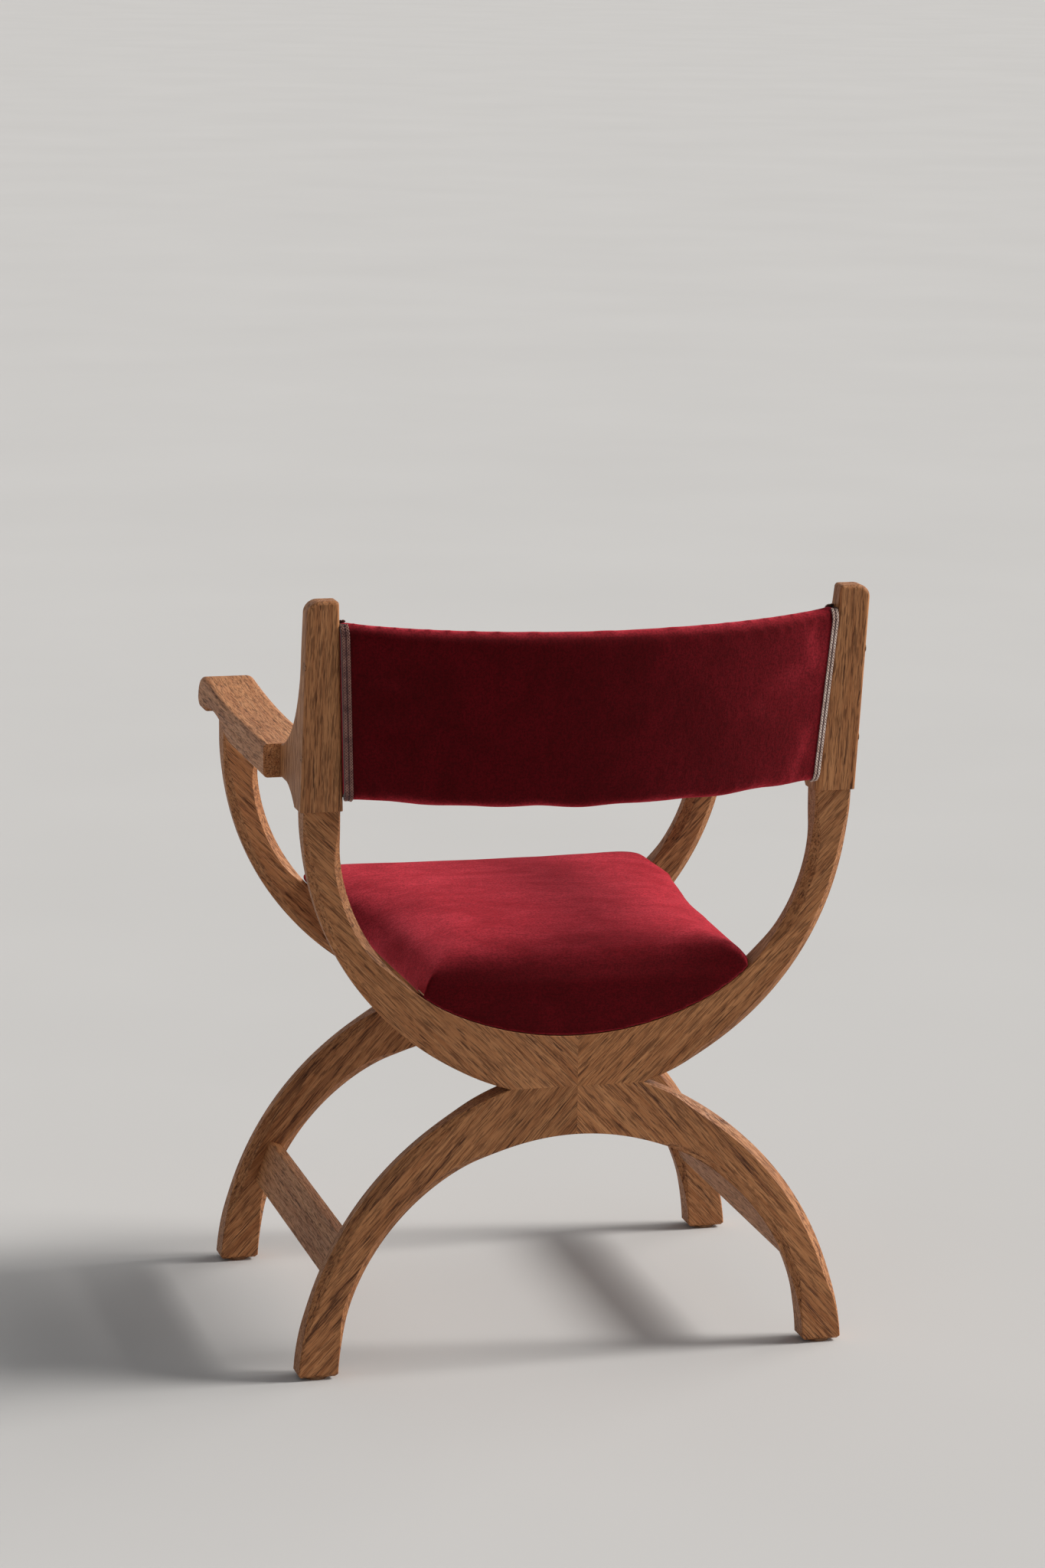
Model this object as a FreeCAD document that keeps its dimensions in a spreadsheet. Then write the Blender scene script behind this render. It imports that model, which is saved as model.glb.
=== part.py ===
import FreeCAD, Part
import Sketcher
import os
import re
from math import atan2, pi, sqrt

# A fixed savonarola armchair in oak: two frames of four quarter arcs each, raked back posts,
# scrolled armrests, two stretchers, an upholstered seat in the two curved frames and a bowed back.
# Millimetres, +Z up, front towards -Y, the sitter's left towards +X, origin on the floor at the middle.

os.makedirs("parts", exist_ok=True)
doc = FreeCAD.newDocument("savonarola_chair")

# Sizes
SIZES = [
    # frames
    ("board_thick", 30), ("frame_depth", 459), ("lower_rise", 53.8), ("crossing_half", 74.5),
    ("upper_wide", 39.5), ("upper_rise", 55.7), ("upper_bottom_radius", 326),
    ("upper_bottom_turn", 24), ("upper_outer_half", 301), ("upper_outer_lag", 21.6),
    ("upper_straight", 30.6), ("foot_wide", 43.5), ("lower_inner_drop", 6),
    ("lower_outer_radius", 351), ("foot_outer_half", 305.5), ("foot_ease", 3),
    # stopped chamfers on the arcs, with the degrees from level where they start and stop
    ("edge_bevel", 8), ("overrun", 5),
    ("upper_inner_start", 2), ("upper_inner_stop", 39), ("upper_outer_start", 2), ("upper_outer_stop", 64),
    ("lower_inner_start", 14), ("lower_inner_stop", 66), ("lower_outer_start", 14), ("lower_outer_stop", 61),
    # back posts
    ("post_height", 228), ("post_rake", 8.5), ("post_proud", 2.5), ("post_side_proud", 4),
    ("post_top_thick", 25), ("post_top_shift", 12.5), ("cove_height", 172), ("cove_thick", 27.5),
    ("cove_radius", 130), ("heel_reach", 34), ("heel_flat", 70), ("heel_radius", 80),
    ("post_soft", 4), ("post_corner_radius", 14),
    # armrests
    ("arm_overhang", 22), ("arm_wide", 61), ("arm_joint_reach", 102), ("arm_rise", 54),
    ("arm_thick", 36.5), ("arm_flat_setback", 229), ("nose_setback", 17), ("nose_centre_drop", 18.5),
    ("nose_top_radius", 30), ("nose_low_radius", 12), ("nose_turn", 12), ("nose_end_setback", 23),
    ("nose_lip_radius", 30), ("hollow_setback", 43), ("hollow_drop", 19.5), ("hollow_radius", 300),
    ("arm_thin_setback", 114), ("arm_thin_drop", 23), ("arm_full_setback", 170), ("arm_swell_radius", 150),
    ("arm_housing_drop", 22), ("arm_soft", 5), ("arm_inner_soft", 10),
    # stretchers
    ("stretcher_thick", 16), ("stretcher_wide", 50), ("stretcher_inset", 17), ("stretcher_height", 116),
    ("stretcher_tilt", 20), ("stretcher_soft", 1.5),
    # dowels and screws
    ("dowel_radius", 5), ("dowel_half", 17), ("dowel_fit", 0.15), ("crossing_dowel_half", 38),
    ("arm_dowel_spread", 22), ("stretcher_dowel_spread", 26), ("stretcher_dowel_radius", 4),
    ("screw_radius", 2), ("screw_head_radius", 4), ("screw_head_depth", 3), ("seat_screw_half", 125),
    ("seat_screw_length", 50), ("seat_screw_bite", 14), ("back_screw_spread", 100),
    ("back_screw_length", 50), ("plug_radius", 5), ("plug_depth", 5),
    # glides
    ("glide_radius", 12.5), ("glide_thick", 3), ("glide_nail_radius", 1.25), ("glide_nail_length", 16),
    # seat
    ("soft_gap", 0.4), ("cloth_thick", 2), ("seat_tall", 97.3), ("seat_pitch", 8),
    ("seat_side_tall", 86.3), ("seat_side_fall", 16), ("seat_shoulder", 18),
    ("seat_crown_radius", 9000), ("seat_roll_radius", 18), ("seat_end_drop", 10), ("seat_side_drop", 5),
    ("seat_end_inset", 2), ("seat_end_run", 22), ("seat_middle_rise", 3), ("seat_rail_thick", 20),
    ("seat_margin", 30), ("piece_gap", 0.3),
    ("seat_rail_tall", 54.3), ("seat_side_rail_margin", 7.4), ("seat_side_rail_thick", 20),
    ("seat_side_rail_deep", 20), ("seat_board_thick", 6), ("seat_board_margin", 29),
    ("dust_cloth_margin", 6), ("dust_cloth_thick", 1), ("dust_cloth_lap", 14),
    # back panel
    ("back_low", 12.5), ("back_top_gap", 25.5), ("back_thick", 28), ("back_bow_radius", 708),
    ("back_rear_proud", 4), ("back_edge_radius", 13), ("back_core_thick", 14), ("back_core_inset", 16),
    ("gimp_wide", 9), ("gimp_thick", 2), ("gimp_end_inset", 8),
]
sheet = doc.addObject("Spreadsheet::Sheet", "Sizes")
for row, (alias, size) in enumerate(SIZES, start=1):
    sheet.set("A%d" % row, alias)
    sheet.set("B%d" % row, str(size))
    sheet.setAlias("B%d" % row, alias)
doc.recompute()


# Helpers
ALIASES = {alias for alias, _ in SIZES}
AXIS = {"x": FreeCAD.Vector(1, 0, 0), "y": FreeCAD.Vector(0, 1, 0), "z": FreeCAD.Vector(0, 0, 1)}


def sized(text):
    """A formula with every size's name written as the sheet wants it."""
    return re.sub(r"[a-z]\w*", lambda word: "Sizes." + word[0] if word[0] in ALIASES else word[0], text)


def size(text):
    """The value of a formula over the sizes."""
    return float(sheet.evalExpression(sized(text)))


def bind(thing, **formulas):
    """Binds properties to formulas; a double underscore in a name stands for a dot."""
    for name, text in formulas.items():
        thing.setExpression(name.replace("__", "."), sized(text))


def new_body(label, along="0"):
    """An empty body whose origin lies on the rear face of its frame."""
    body = doc.addObject("PartDesign::Body", label)
    body.Label = label
    bind(body, Placement__Base__y=REAR_FACE + " - (" + along + ")")
    return body


def origin_plane(body, role):
    """One of a body's own three planes."""
    return next(datum for datum in body.Origin.OriginFeatures if datum.Role == role)


def new_sketch(body, role, **offset):
    """A sketch on one of the body's own planes, moved off it by the given formulas."""
    sketch = body.newObject("Sketcher::SketchObject", body.Name + "_sketch")
    sketch.AttachmentSupport = [(origin_plane(body, role), "")]
    sketch.MapMode = "FlatFace"
    turn_axis = AXIS["z"] if role == "XZ_Plane" else AXIS["y"]
    sketch.AttachmentOffset = FreeCAD.Placement(FreeCAD.Vector(), FreeCAD.Rotation(turn_axis, 1))
    sketch.setExpression("AttachmentOffset.Rotation.Angle", sized(offset.pop("turn", "0")))
    for axis, text in offset.items():
        sketch.setExpression("AttachmentOffset.Base." + axis, sized(text))
    return sketch


def arc_between(start, end, radius, side):
    """The arc of under a half circle from start to end, its centre left (1) or right (-1) of the way."""
    way = end - start
    left = FreeCAD.Vector(-way.y, way.x, 0).normalize()
    centre = (start + end) / 2 + left * side * sqrt(radius ** 2 - way.Length ** 2 / 4)
    first, last = (start, end) if side > 0 else (end, start)
    turn = [atan2(point.y - centre.y, point.x - centre.x) for point in (first, last)]
    circle = Part.Circle(centre, AXIS["z"], radius)
    return Part.ArcOfCircle(circle, turn[0], turn[1] if turn[1] > turn[0] else turn[1] + 2 * pi)


def draw(sketch, corners):
    """A closed outline: corners of two formulas, and a third and a side where an arc leads on."""
    points = [FreeCAD.Vector(size(corner[0]), size(corner[1]), 0) for corner in corners]
    first = sketch.GeometryCount
    ends = []
    for number, corner in enumerate(corners):
        start, end = points[number], points[(number + 1) % len(points)]
        if len(corner) == 2:
            sketch.addGeometry(Part.LineSegment(start, end))
            ends.append((1, 2))
        else:
            sketch.addGeometry(arc_between(start, end, size(corner[2]), corner[3]))
            ends.append((1, 2) if corner[3] > 0 else (2, 1))
    for number, corner in enumerate(corners):
        piece, following = first + number, first + (number + 1) % len(corners)
        meets = ends[(number + 1) % len(corners)][0]
        sketch.addConstraint(Sketcher.Constraint("Coincident", piece, ends[number][1], following, meets))
        for kind, text, value in (("DistanceX", corner[0], points[number].x),
                                  ("DistanceY", corner[1], points[number].y)):
            place = sketch.addConstraint(Sketcher.Constraint(kind, -1, 1, piece, ends[number][0], value))
            sketch.setExpression("Constraints[%d]" % place, sized(text))
        if len(corner) == 4:
            round_size = Sketcher.Constraint("Radius", piece, size(corner[2]))
            sketch.setExpression("Constraints[%d]" % sketch.addConstraint(round_size), sized(corner[2]))
    return sketch


def pad(body, sketch, length, **settings):
    """Thickens a sketch by a formula's length."""
    feature = body.newObject("PartDesign::Pad", body.Name + "_pad")
    feature.Profile = sketch
    bind(feature, Length=length)
    for name, value in settings.items():
        setattr(feature, name, value)
    return feature


def pocket(body, sketch, length, **settings):
    """Cuts a sketch's outline out of the body."""
    feature = body.newObject("PartDesign::Pocket", body.Name + "_pocket")
    feature.Profile = sketch
    bind(feature, Length=length)
    for name, value in settings.items():
        setattr(feature, name, value)
    return feature


def drill(body, radius, length, way, **places):
    """Bores a round hole from a place, along x, y or z."""
    hole = body.newObject("PartDesign::SubtractiveCylinder", body.Name + "_bore")
    hole.AttachmentSupport = [(origin_plane(body, "XY_Plane"), "")]
    hole.MapMode = "FlatFace"
    turns = {"x": (AXIS["y"], 90), "y": (AXIS["x"], -90), "z": (AXIS["z"], 0)}
    hole.AttachmentOffset = FreeCAD.Placement(FreeCAD.Vector(), FreeCAD.Rotation(*turns[way]))
    bind(hole, Radius=radius, Height=length)
    for axis, text in places.items():
        hole.setExpression("AttachmentOffset.Base." + axis, sized(text))
    return hole


def soften(body, kind, amount, chosen):
    """Rounds or chamfers the edges of the body's tip that pass a test."""
    doc.recompute()
    tip = body.Tip
    names = ["Edge%d" % n for n, edge in enumerate(tip.Shape.Edges, start=1) if chosen(edge)]
    feature = body.newObject("PartDesign::" + kind, body.Name + "_" + kind.lower())
    feature.Base = (tip, names)
    bind(feature, **{"Radius" if kind == "Fillet" else "Size": amount})
    return feature


def mirrored(source, label):
    """The same piece for the sitter's right."""
    copy = doc.addObject("Part::Mirroring", label)
    copy.Label = label
    copy.Source = source
    copy.Normal = AXIS["x"]
    return copy


def rod(name, radius, length, way, x, y, z):
    """A round bar from a place, along x, y or z."""
    bar = doc.addObject("Part::Cylinder", name)
    turns = {"x": (AXIS["y"], 90), "y": (AXIS["x"], -90), "z": (AXIS["z"], 0)}
    bar.Placement = FreeCAD.Placement(FreeCAD.Vector(), FreeCAD.Rotation(*turns[way]))
    bind(bar, Radius=radius, Height=length)
    bind(bar, Placement__Base__x=x, Placement__Base__y=REAR_FACE + " + " + y, Placement__Base__z=z)
    return bar


def group(label, pieces):
    """Separate equal pieces that share one node."""
    bundle = doc.addObject("Part::Compound", label)
    bundle.Label = label
    bundle.Links = pieces
    return bundle


def fused(name, pieces):
    """Touching pieces joined into one solid."""
    union = doc.addObject("Part::MultiFuse", name)
    union.Shapes = pieces
    return union


# Places that several pieces share
NEAR = 1e-4
FRONT_FRAME = "(frame_depth - board_thick)"
FOOT_INNER = "(foot_outer_half - foot_wide)"
LOWER_INNER_RADIUS = f"sqrt({FOOT_INNER}^2 + (glide_thick + lower_inner_drop)^2)"
LOWER_INNER_TOP = f"({LOWER_INNER_RADIUS} - lower_inner_drop)"
CROSSING = f"({LOWER_INNER_TOP} + lower_rise)"
UPPER_INNER = "(upper_outer_half - upper_wide)"
UPPER_LOW = f"({CROSSING} + upper_rise)"
UPPER_TURN = "(upper_bottom_turn * 1deg)"
UPPER_SIDE_RADIUS = f"(({UPPER_INNER} - upper_bottom_radius * sin({UPPER_TURN})) / (1 - sin({UPPER_TURN})))"
UPPER_SIDE_CENTRE = (f"({UPPER_LOW} + upper_bottom_radius"
                     f" - (upper_bottom_radius - {UPPER_SIDE_RADIUS}) * cos({UPPER_TURN}))")
UPPER_OUTER_CENTRE = f"({UPPER_SIDE_CENTRE} + upper_outer_lag)"
UPPER_OUTER_RADIUS = (f"(((upper_outer_half - crossing_half)^2 + ({UPPER_OUTER_CENTRE} - {CROSSING})^2)"
                      " / (2 * (upper_outer_half - crossing_half)))")
STEP = f"({UPPER_SIDE_CENTRE} + upper_straight)"
LOWER_CHORD = f"sqrt((foot_outer_half - crossing_half)^2 + ({CROSSING} - glide_thick)^2)"
LOWER_TO_CENTRE = f"sqrt(lower_outer_radius^2 / {LOWER_CHORD}^2 - 1 / 4)"
LOWER_OUTER_X = ("((foot_outer_half + crossing_half) / 2"
                 f" - {LOWER_TO_CENTRE} * ({CROSSING} - glide_thick))")
LOWER_OUTER_Z = (f"(({CROSSING} + glide_thick) / 2"
                 f" - {LOWER_TO_CENTRE} * (foot_outer_half - crossing_half))")
RAKE = "(post_rake * 1deg)"
POST_INNER = f"({UPPER_INNER} - post_proud)"
POST_OUTER = "(upper_outer_half + post_side_proud)"
POST_LONG = f"(post_height / cos({RAKE}))"
BACK_APEX = ("(back_rear_proud + back_bow_radius"
             f" - sqrt(back_bow_radius^2 - ({POST_INNER} + post_top_shift)^2))")
BACK_TOP = f"({POST_LONG} - back_top_gap)"
ARM_OUTER = "(upper_outer_half + arm_overhang)"
ARM_INNER = f"({ARM_OUTER} - arm_wide)"
ARM_TOP = f"({STEP} + arm_rise)"
NOSE_CENTRE = "(frame_depth - nose_setback)"
NOSE_HEIGHT = f"({ARM_TOP} - nose_centre_drop)"
NOSE_LOW_CENTRE = f"({NOSE_CENTRE} + (nose_top_radius - nose_low_radius) * cos(nose_turn * 1deg))"
NOSE_LOW_HEIGHT = f"({NOSE_HEIGHT} + (nose_top_radius - nose_low_radius) * sin(nose_turn * 1deg))"
HOUSING_HEIGHT = f"({ARM_TOP} - arm_housing_drop)"
POST_MIDDLE = f"(({UPPER_INNER} + upper_outer_half) / 2)"
ARM_DOWEL_MIDDLE = f"(({ARM_INNER} + {POST_OUTER}) / 2)"
BACK_CENTRE = f"({BACK_APEX} - back_bow_radius)"
BACK_SCREW_Y = f"({BACK_CENTRE} + sqrt((back_bow_radius - back_thick / 2)^2 - {POST_INNER}^2))"
SEAT_SCREW_HEAD = (f"({CROSSING} + upper_rise + upper_bottom_radius"
                   " - sqrt(upper_bottom_radius^2 - seat_screw_half^2)"
                   " + soft_gap + cloth_thick + seat_screw_bite - seat_screw_length)")
SOFT_INSET = "(cloth_thick + piece_gap)"
SEAT_RAIL_TOP = f"({UPPER_LOW} + seat_rail_tall)"
SEAT_RAIL_END = (f"({UPPER_INNER} - {UPPER_SIDE_RADIUS}"
                 f" + sqrt(({UPPER_SIDE_RADIUS} - soft_gap - {SOFT_INSET})^2"
                 f" - ({UPPER_SIDE_CENTRE} - {SEAT_RAIL_TOP})^2))")
SEAT_SIDE_RAIL = (f"(sqrt((upper_bottom_radius - soft_gap - {SOFT_INSET})^2"
                  f" - ({UPPER_LOW} + upper_bottom_radius - {SEAT_RAIL_TOP} + seat_side_rail_deep)^2)"
                  " - seat_side_rail_margin - seat_side_rail_thick)")
SEAT_BOARD_HALF = f"({SEAT_RAIL_END} - seat_board_margin)"
DUST_CLOTH_HALF = f"({SEAT_SIDE_RAIL} - dust_cloth_margin)"
DUST_OPENING_HALF = f"({DUST_CLOTH_HALF} - dust_cloth_lap)"
STRETCHER_HALF = f"(sqrt({LOWER_INNER_RADIUS}^2 - (stretcher_height + lower_inner_drop)^2) + stretcher_inset)"
STRETCHER_DOWELS = [
    (f"{STRETCHER_HALF} {across} stretcher_dowel_spread / 2 * sin(stretcher_tilt * 1deg)",
     f"stretcher_height {up} stretcher_dowel_spread / 2 * cos(stretcher_tilt * 1deg)")
    for across, up in (("+", "-"), ("-", "+"))]
REACH_FRONT = f"({NOSE_LOW_CENTRE} + nose_low_radius)"
REACH_REAR = (f"(post_proud + ({BACK_APEX} - back_edge_radius) * cos({RAKE})"
              f" + ({BACK_TOP} - back_edge_radius) * sin({RAKE}) + back_edge_radius)")
REAR_FACE = f"(({REACH_FRONT} - {REACH_REAR}) / 2)"


# Frames
def ease_round(body, centre_x, centre_z, radius, start, stop, outward, rising):
    """A chamfer with stopped ends round an arc's edges, on its front and its rear face."""
    sign = "-" if rising else ""
    sketch = new_sketch(body, "XY_Plane", x=centre_x, z=centre_z, turn=f"{sign}{start}")
    way, back = ("-", "+") if outward else ("+", "-")
    far = f"{radius} {way} (edge_bevel + overrun)"
    near = f"{radius} {back} overrun"
    draw(sketch, [(near, "overrun"), (near, "-(edge_bevel + overrun)"), (far, "overrun")])
    draw(sketch, [(near, "-(board_thick + overrun)"), (far, "-(board_thick + overrun)"),
                  (near, "edge_bevel + overrun - board_thick")])
    groove = body.newObject("PartDesign::Groove", body.Name + "_groove")
    groove.Profile = sketch
    groove.ReferenceAxis = (sketch, ["V_Axis"])
    groove.Reversed = rising
    bind(groove, Angle=f"{stop} - {start}")


def upper_arc(label, along, top):
    """One board of the upper U, from the mitre and the crossing up to the given height."""
    body = new_body(label, along)
    sketch = new_sketch(body, "XZ_Plane")
    join = (f"upper_bottom_radius * sin({UPPER_TURN})",
            f"{UPPER_LOW} + upper_bottom_radius * (1 - cos({UPPER_TURN}))")
    draw(sketch, [("0", CROSSING),
                  ("crossing_half", CROSSING, UPPER_OUTER_RADIUS, 1),
                  ("upper_outer_half", UPPER_OUTER_CENTRE),
                  ("upper_outer_half", top),
                  (UPPER_INNER, top),
                  (UPPER_INNER, UPPER_SIDE_CENTRE, UPPER_SIDE_RADIUS, -1),
                  (join[0], join[1], "upper_bottom_radius", -1),
                  ("0", UPPER_LOW)])
    pad(body, sketch, "board_thick")
    ease_round(body, f"{UPPER_INNER} - {UPPER_SIDE_RADIUS}", UPPER_SIDE_CENTRE, UPPER_SIDE_RADIUS,
               "upper_inner_start", "upper_inner_stop", False, False)
    ease_round(body, f"upper_outer_half - {UPPER_OUTER_RADIUS}", UPPER_OUTER_CENTRE, UPPER_OUTER_RADIUS,
               "upper_outer_start", "upper_outer_stop", True, False)
    drill(body, "dowel_radius + dowel_fit", "dowel_half + dowel_fit", "z",
          x="crossing_dowel_half", y="-board_thick / 2", z=CROSSING)
    drill(body, "dowel_radius + dowel_fit", "dowel_half + dowel_fit", "x",
          y="-board_thick / 2", z=f"{CROSSING} + upper_rise / 2")
    drill(body, "dowel_radius + dowel_fit", "dowel_half + dowel_fit", "z",
          x=POST_MIDDLE, y="-board_thick / 2", z=f"{top} - dowel_half - dowel_fit")
    drill(body, "plug_radius", f"{SEAT_SCREW_HEAD} - {CROSSING}", "z",
          x="seat_screw_half", y="-board_thick / 2", z=CROSSING)
    drill(body, "screw_radius + dowel_fit", "seat_screw_length + overrun", "z",
          x="seat_screw_half", y="-board_thick / 2", z=f"{SEAT_SCREW_HEAD} - overrun")
    return body


def lower_arc(label, along, stretcher_face):
    """One board of the lower arch, from the foot to the mitre under the crossing."""
    body = new_body(label, along)
    sketch = new_sketch(body, "XZ_Plane")
    draw(sketch, [("0", LOWER_INNER_TOP),
                  ("0", CROSSING),
                  ("crossing_half", CROSSING, "lower_outer_radius", -1),
                  ("foot_outer_half", "glide_thick"),
                  (FOOT_INNER, "glide_thick", LOWER_INNER_RADIUS, 1)])
    pad(body, sketch, "board_thick")
    ease_round(body, "0", "-lower_inner_drop", LOWER_INNER_RADIUS,
               "lower_inner_start", "lower_inner_stop", False, True)
    ease_round(body, LOWER_OUTER_X, LOWER_OUTER_Z, "lower_outer_radius",
               "lower_outer_start", "lower_outer_stop", True, True)
    soften(body, "Chamfer", "foot_ease",
           lambda edge: all(abs(end.Z - size("glide_thick")) < NEAR for end in edge.Vertexes))
    drill(body, "dowel_radius + dowel_fit", "dowel_half + dowel_fit", "z",
          x="crossing_dowel_half", y="-board_thick / 2", z=f"{CROSSING} - dowel_half - dowel_fit")
    drill(body, "dowel_radius + dowel_fit", "dowel_half + dowel_fit", "x",
          y="-board_thick / 2", z=f"({LOWER_INNER_TOP} + {CROSSING}) / 2")
    for x, z in STRETCHER_DOWELS:
        drill(body, "stretcher_dowel_radius + dowel_fit", "dowel_half + dowel_fit", "y",
              x=x, y=stretcher_face, z=z)
    drill(body, "glide_nail_radius + dowel_fit", "glide_nail_length + dowel_fit", "z",
          x=f"({FOOT_INNER} + foot_outer_half) / 2", y="-board_thick / 2", z="glide_thick")
    return body


for frame_name, along, top, face in (
        ("rear", "0", STEP, "-board_thick"),
        ("front", FRONT_FRAME, HOUSING_HEIGHT, "-(dowel_half + dowel_fit)")):
    left = upper_arc(f"{frame_name}_upper_left_arc", along, top)
    mirrored(left, f"{frame_name}_upper_right_arc")
    left = lower_arc(f"{frame_name}_lower_left_arc", along, face)
    mirrored(left, f"{frame_name}_lower_right_arc")


# Posts
def back_post():
    """The raked post with its forward ear, standing on the step of the rear frame."""
    body = new_body("left_back_post")
    sketch = new_sketch(body, "YZ_Plane", z=POST_INNER)
    top, cove = f"{STEP} + post_height", f"{STEP} + cove_height"
    draw(sketch, [("post_proud", STEP),
                  (f"post_proud + post_height * tan({RAKE})", top),
                  (f"post_proud + post_height * tan({RAKE}) - post_top_thick", top),
                  (f"post_proud + cove_height * tan({RAKE}) - cove_thick", cove, "cove_radius", -1),
                  ("-arm_joint_reach", ARM_TOP),
                  ("-arm_joint_reach", f"{ARM_TOP} - arm_thick"),
                  ("-heel_flat", f"{ARM_TOP} - arm_thick", "heel_radius", -1),
                  ("-heel_reach", STEP)])
    pad(body, sketch, f"{POST_OUTER} - {POST_INNER}")
    sketch = new_sketch(body, "XZ_Plane", z="arm_joint_reach + overrun")
    slope = "post_top_shift / post_height"
    draw(sketch, [(POST_INNER, STEP),
                  (f"{POST_INNER} + {slope} * (post_height + overrun)", f"{top} + overrun"),
                  (f"{POST_INNER} - overrun", f"{top} + overrun"),
                  (f"{POST_INNER} - overrun", STEP)])
    pocket(body, sketch, "arm_joint_reach + post_height")
    outer, height = size(POST_OUTER), size(top)
    soften(body, "Fillet", "post_corner_radius", lambda edge: all(
        max(abs(end.X - outer), abs(end.Z - height)) < NEAR for end in edge.Vertexes))
    soften(body, "Fillet", "post_soft", post_edge)
    drill(body, "dowel_radius + dowel_fit", "dowel_half + dowel_fit", "z",
          x=POST_MIDDLE, y="-board_thick / 2", z=STEP)
    for side in ("-", "+"):
        drill(body, "dowel_radius + dowel_fit", "dowel_half + dowel_fit", "y",
              x=f"{ARM_DOWEL_MIDDLE} {side} arm_dowel_spread / 2", y="-arm_joint_reach",
              z=f"{ARM_TOP} - arm_thick / 2")
        along_post = f"((back_low + {BACK_TOP}) / 2 {side} back_screw_spread / 2)"
        places = {"y": f"post_proud + {BACK_SCREW_Y} * cos({RAKE}) + {along_post} * sin({RAKE})",
                  "z": f"{STEP} - {BACK_SCREW_Y} * sin({RAKE}) + {along_post} * cos({RAKE})"}
        drill(body, "screw_radius + dowel_fit", f"{POST_OUTER} - {POST_INNER} + 2 * overrun", "x",
              x=f"{POST_INNER} - overrun", **places)
        drill(body, "plug_radius + dowel_fit", "plug_depth + screw_head_depth + overrun", "x",
              x=f"{POST_OUTER} - plug_depth - screw_head_depth", **places)
    return body


def post_edge(edge):
    """Whether an edge lies along the post's outline or round its top, away from its joints."""
    ends = [end.Point for end in edge.Vertexes]
    step, top = size(STEP), size(f"{STEP} + post_height")
    slope = size("post_top_shift / post_height")
    joint = -size("arm_joint_reach")
    if all(abs(end.z - step) < NEAR for end in ends) or all(abs(end.y - joint) < NEAR for end in ends):
        return False
    inner = all(abs(end.x - size(POST_INNER) - slope * (end.z - step)) < NEAR for end in ends)
    level = abs(ends[0].z - ends[-1].z) < NEAR and abs(ends[0].x - ends[-1].x) < NEAR
    if level and ends[0].z > step + size("cove_height"):
        return inner
    return inner or all(min(abs(end.x - size(POST_OUTER)), abs(end.z - top)) < NEAR for end in ends)


mirrored(back_post(), "right_back_post")


# Armrests
def armrest():
    """The scrolled armrest, butted to the post's ear and housed on the front frame."""
    body = new_body("left_armrest")
    sketch = new_sketch(body, "YZ_Plane", z=ARM_INNER)
    flat = "(frame_depth - arm_flat_setback)"
    sweep = (f"((({NOSE_CENTRE} - {flat})^2 + nose_centre_drop^2 - nose_top_radius^2)"
             " / (2 * (nose_top_radius - nose_centre_drop)))")
    lead = f"(({NOSE_CENTRE} - {flat}) / ({sweep} + nose_top_radius))"
    under = f"{ARM_TOP} - arm_thick"
    draw(sketch, [("-arm_joint_reach", under),
                  ("-arm_joint_reach", ARM_TOP),
                  (f"-{flat}", ARM_TOP, sweep, -1),
                  (f"-({NOSE_CENTRE} - nose_top_radius * {lead})",
                   f"{NOSE_HEIGHT} + nose_top_radius * sqrt(1 - {lead}^2)", "nose_top_radius", 1),
                  (f"-({NOSE_CENTRE} + nose_top_radius * cos(nose_turn * 1deg))",
                   f"{NOSE_HEIGHT} + nose_top_radius * sin(nose_turn * 1deg)", "nose_low_radius", 1),
                  (f"-{NOSE_LOW_CENTRE}", f"{NOSE_LOW_HEIGHT} - nose_low_radius"),
                  ("-(frame_depth - nose_end_setback)", f"{NOSE_LOW_HEIGHT} - nose_low_radius",
                   "nose_lip_radius", -1),
                  ("-(frame_depth - hollow_setback)", f"{ARM_TOP} - hollow_drop", "hollow_radius", -1),
                  ("-(frame_depth - arm_thin_setback)", f"{ARM_TOP} - arm_thin_drop",
                   "arm_swell_radius", 1),
                  ("-(frame_depth - arm_full_setback)", under)])
    pad(body, sketch, f"{ARM_OUTER} - {ARM_INNER}")
    for side, amount in ((ARM_OUTER, "arm_soft"), (ARM_INNER, "arm_inner_soft")):
        face = size(side)
        soften(body, "Fillet", amount, lambda edge: all(abs(end.X - face) < NEAR for end in edge.Vertexes)
               and not all(abs(end.Y + size("arm_joint_reach")) < NEAR for end in edge.Vertexes))
    sketch = new_sketch(body, "XY_Plane", z=HOUSING_HEIGHT)
    draw(sketch, [(f"{UPPER_INNER} - overrun", f"-{FRONT_FRAME}"),
                  (f"{UPPER_INNER} - overrun", "-frame_depth"),
                  ("upper_outer_half", "-frame_depth"),
                  ("upper_outer_half", f"-{FRONT_FRAME}")])
    pocket(body, sketch, "arm_thick")
    drill(body, "dowel_radius + dowel_fit", "dowel_half + dowel_fit", "z",
          x=POST_MIDDLE, y=f"-({FRONT_FRAME} + board_thick / 2)", z=HOUSING_HEIGHT)
    for side in ("-", "+"):
        drill(body, "dowel_radius + dowel_fit", "dowel_half + dowel_fit", "y",
              x=f"{ARM_DOWEL_MIDDLE} {side} arm_dowel_spread / 2",
              y="-(arm_joint_reach + dowel_half + dowel_fit)", z=f"{ARM_TOP} - arm_thick / 2")
    return body


mirrored(armrest(), "right_armrest")


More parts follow.
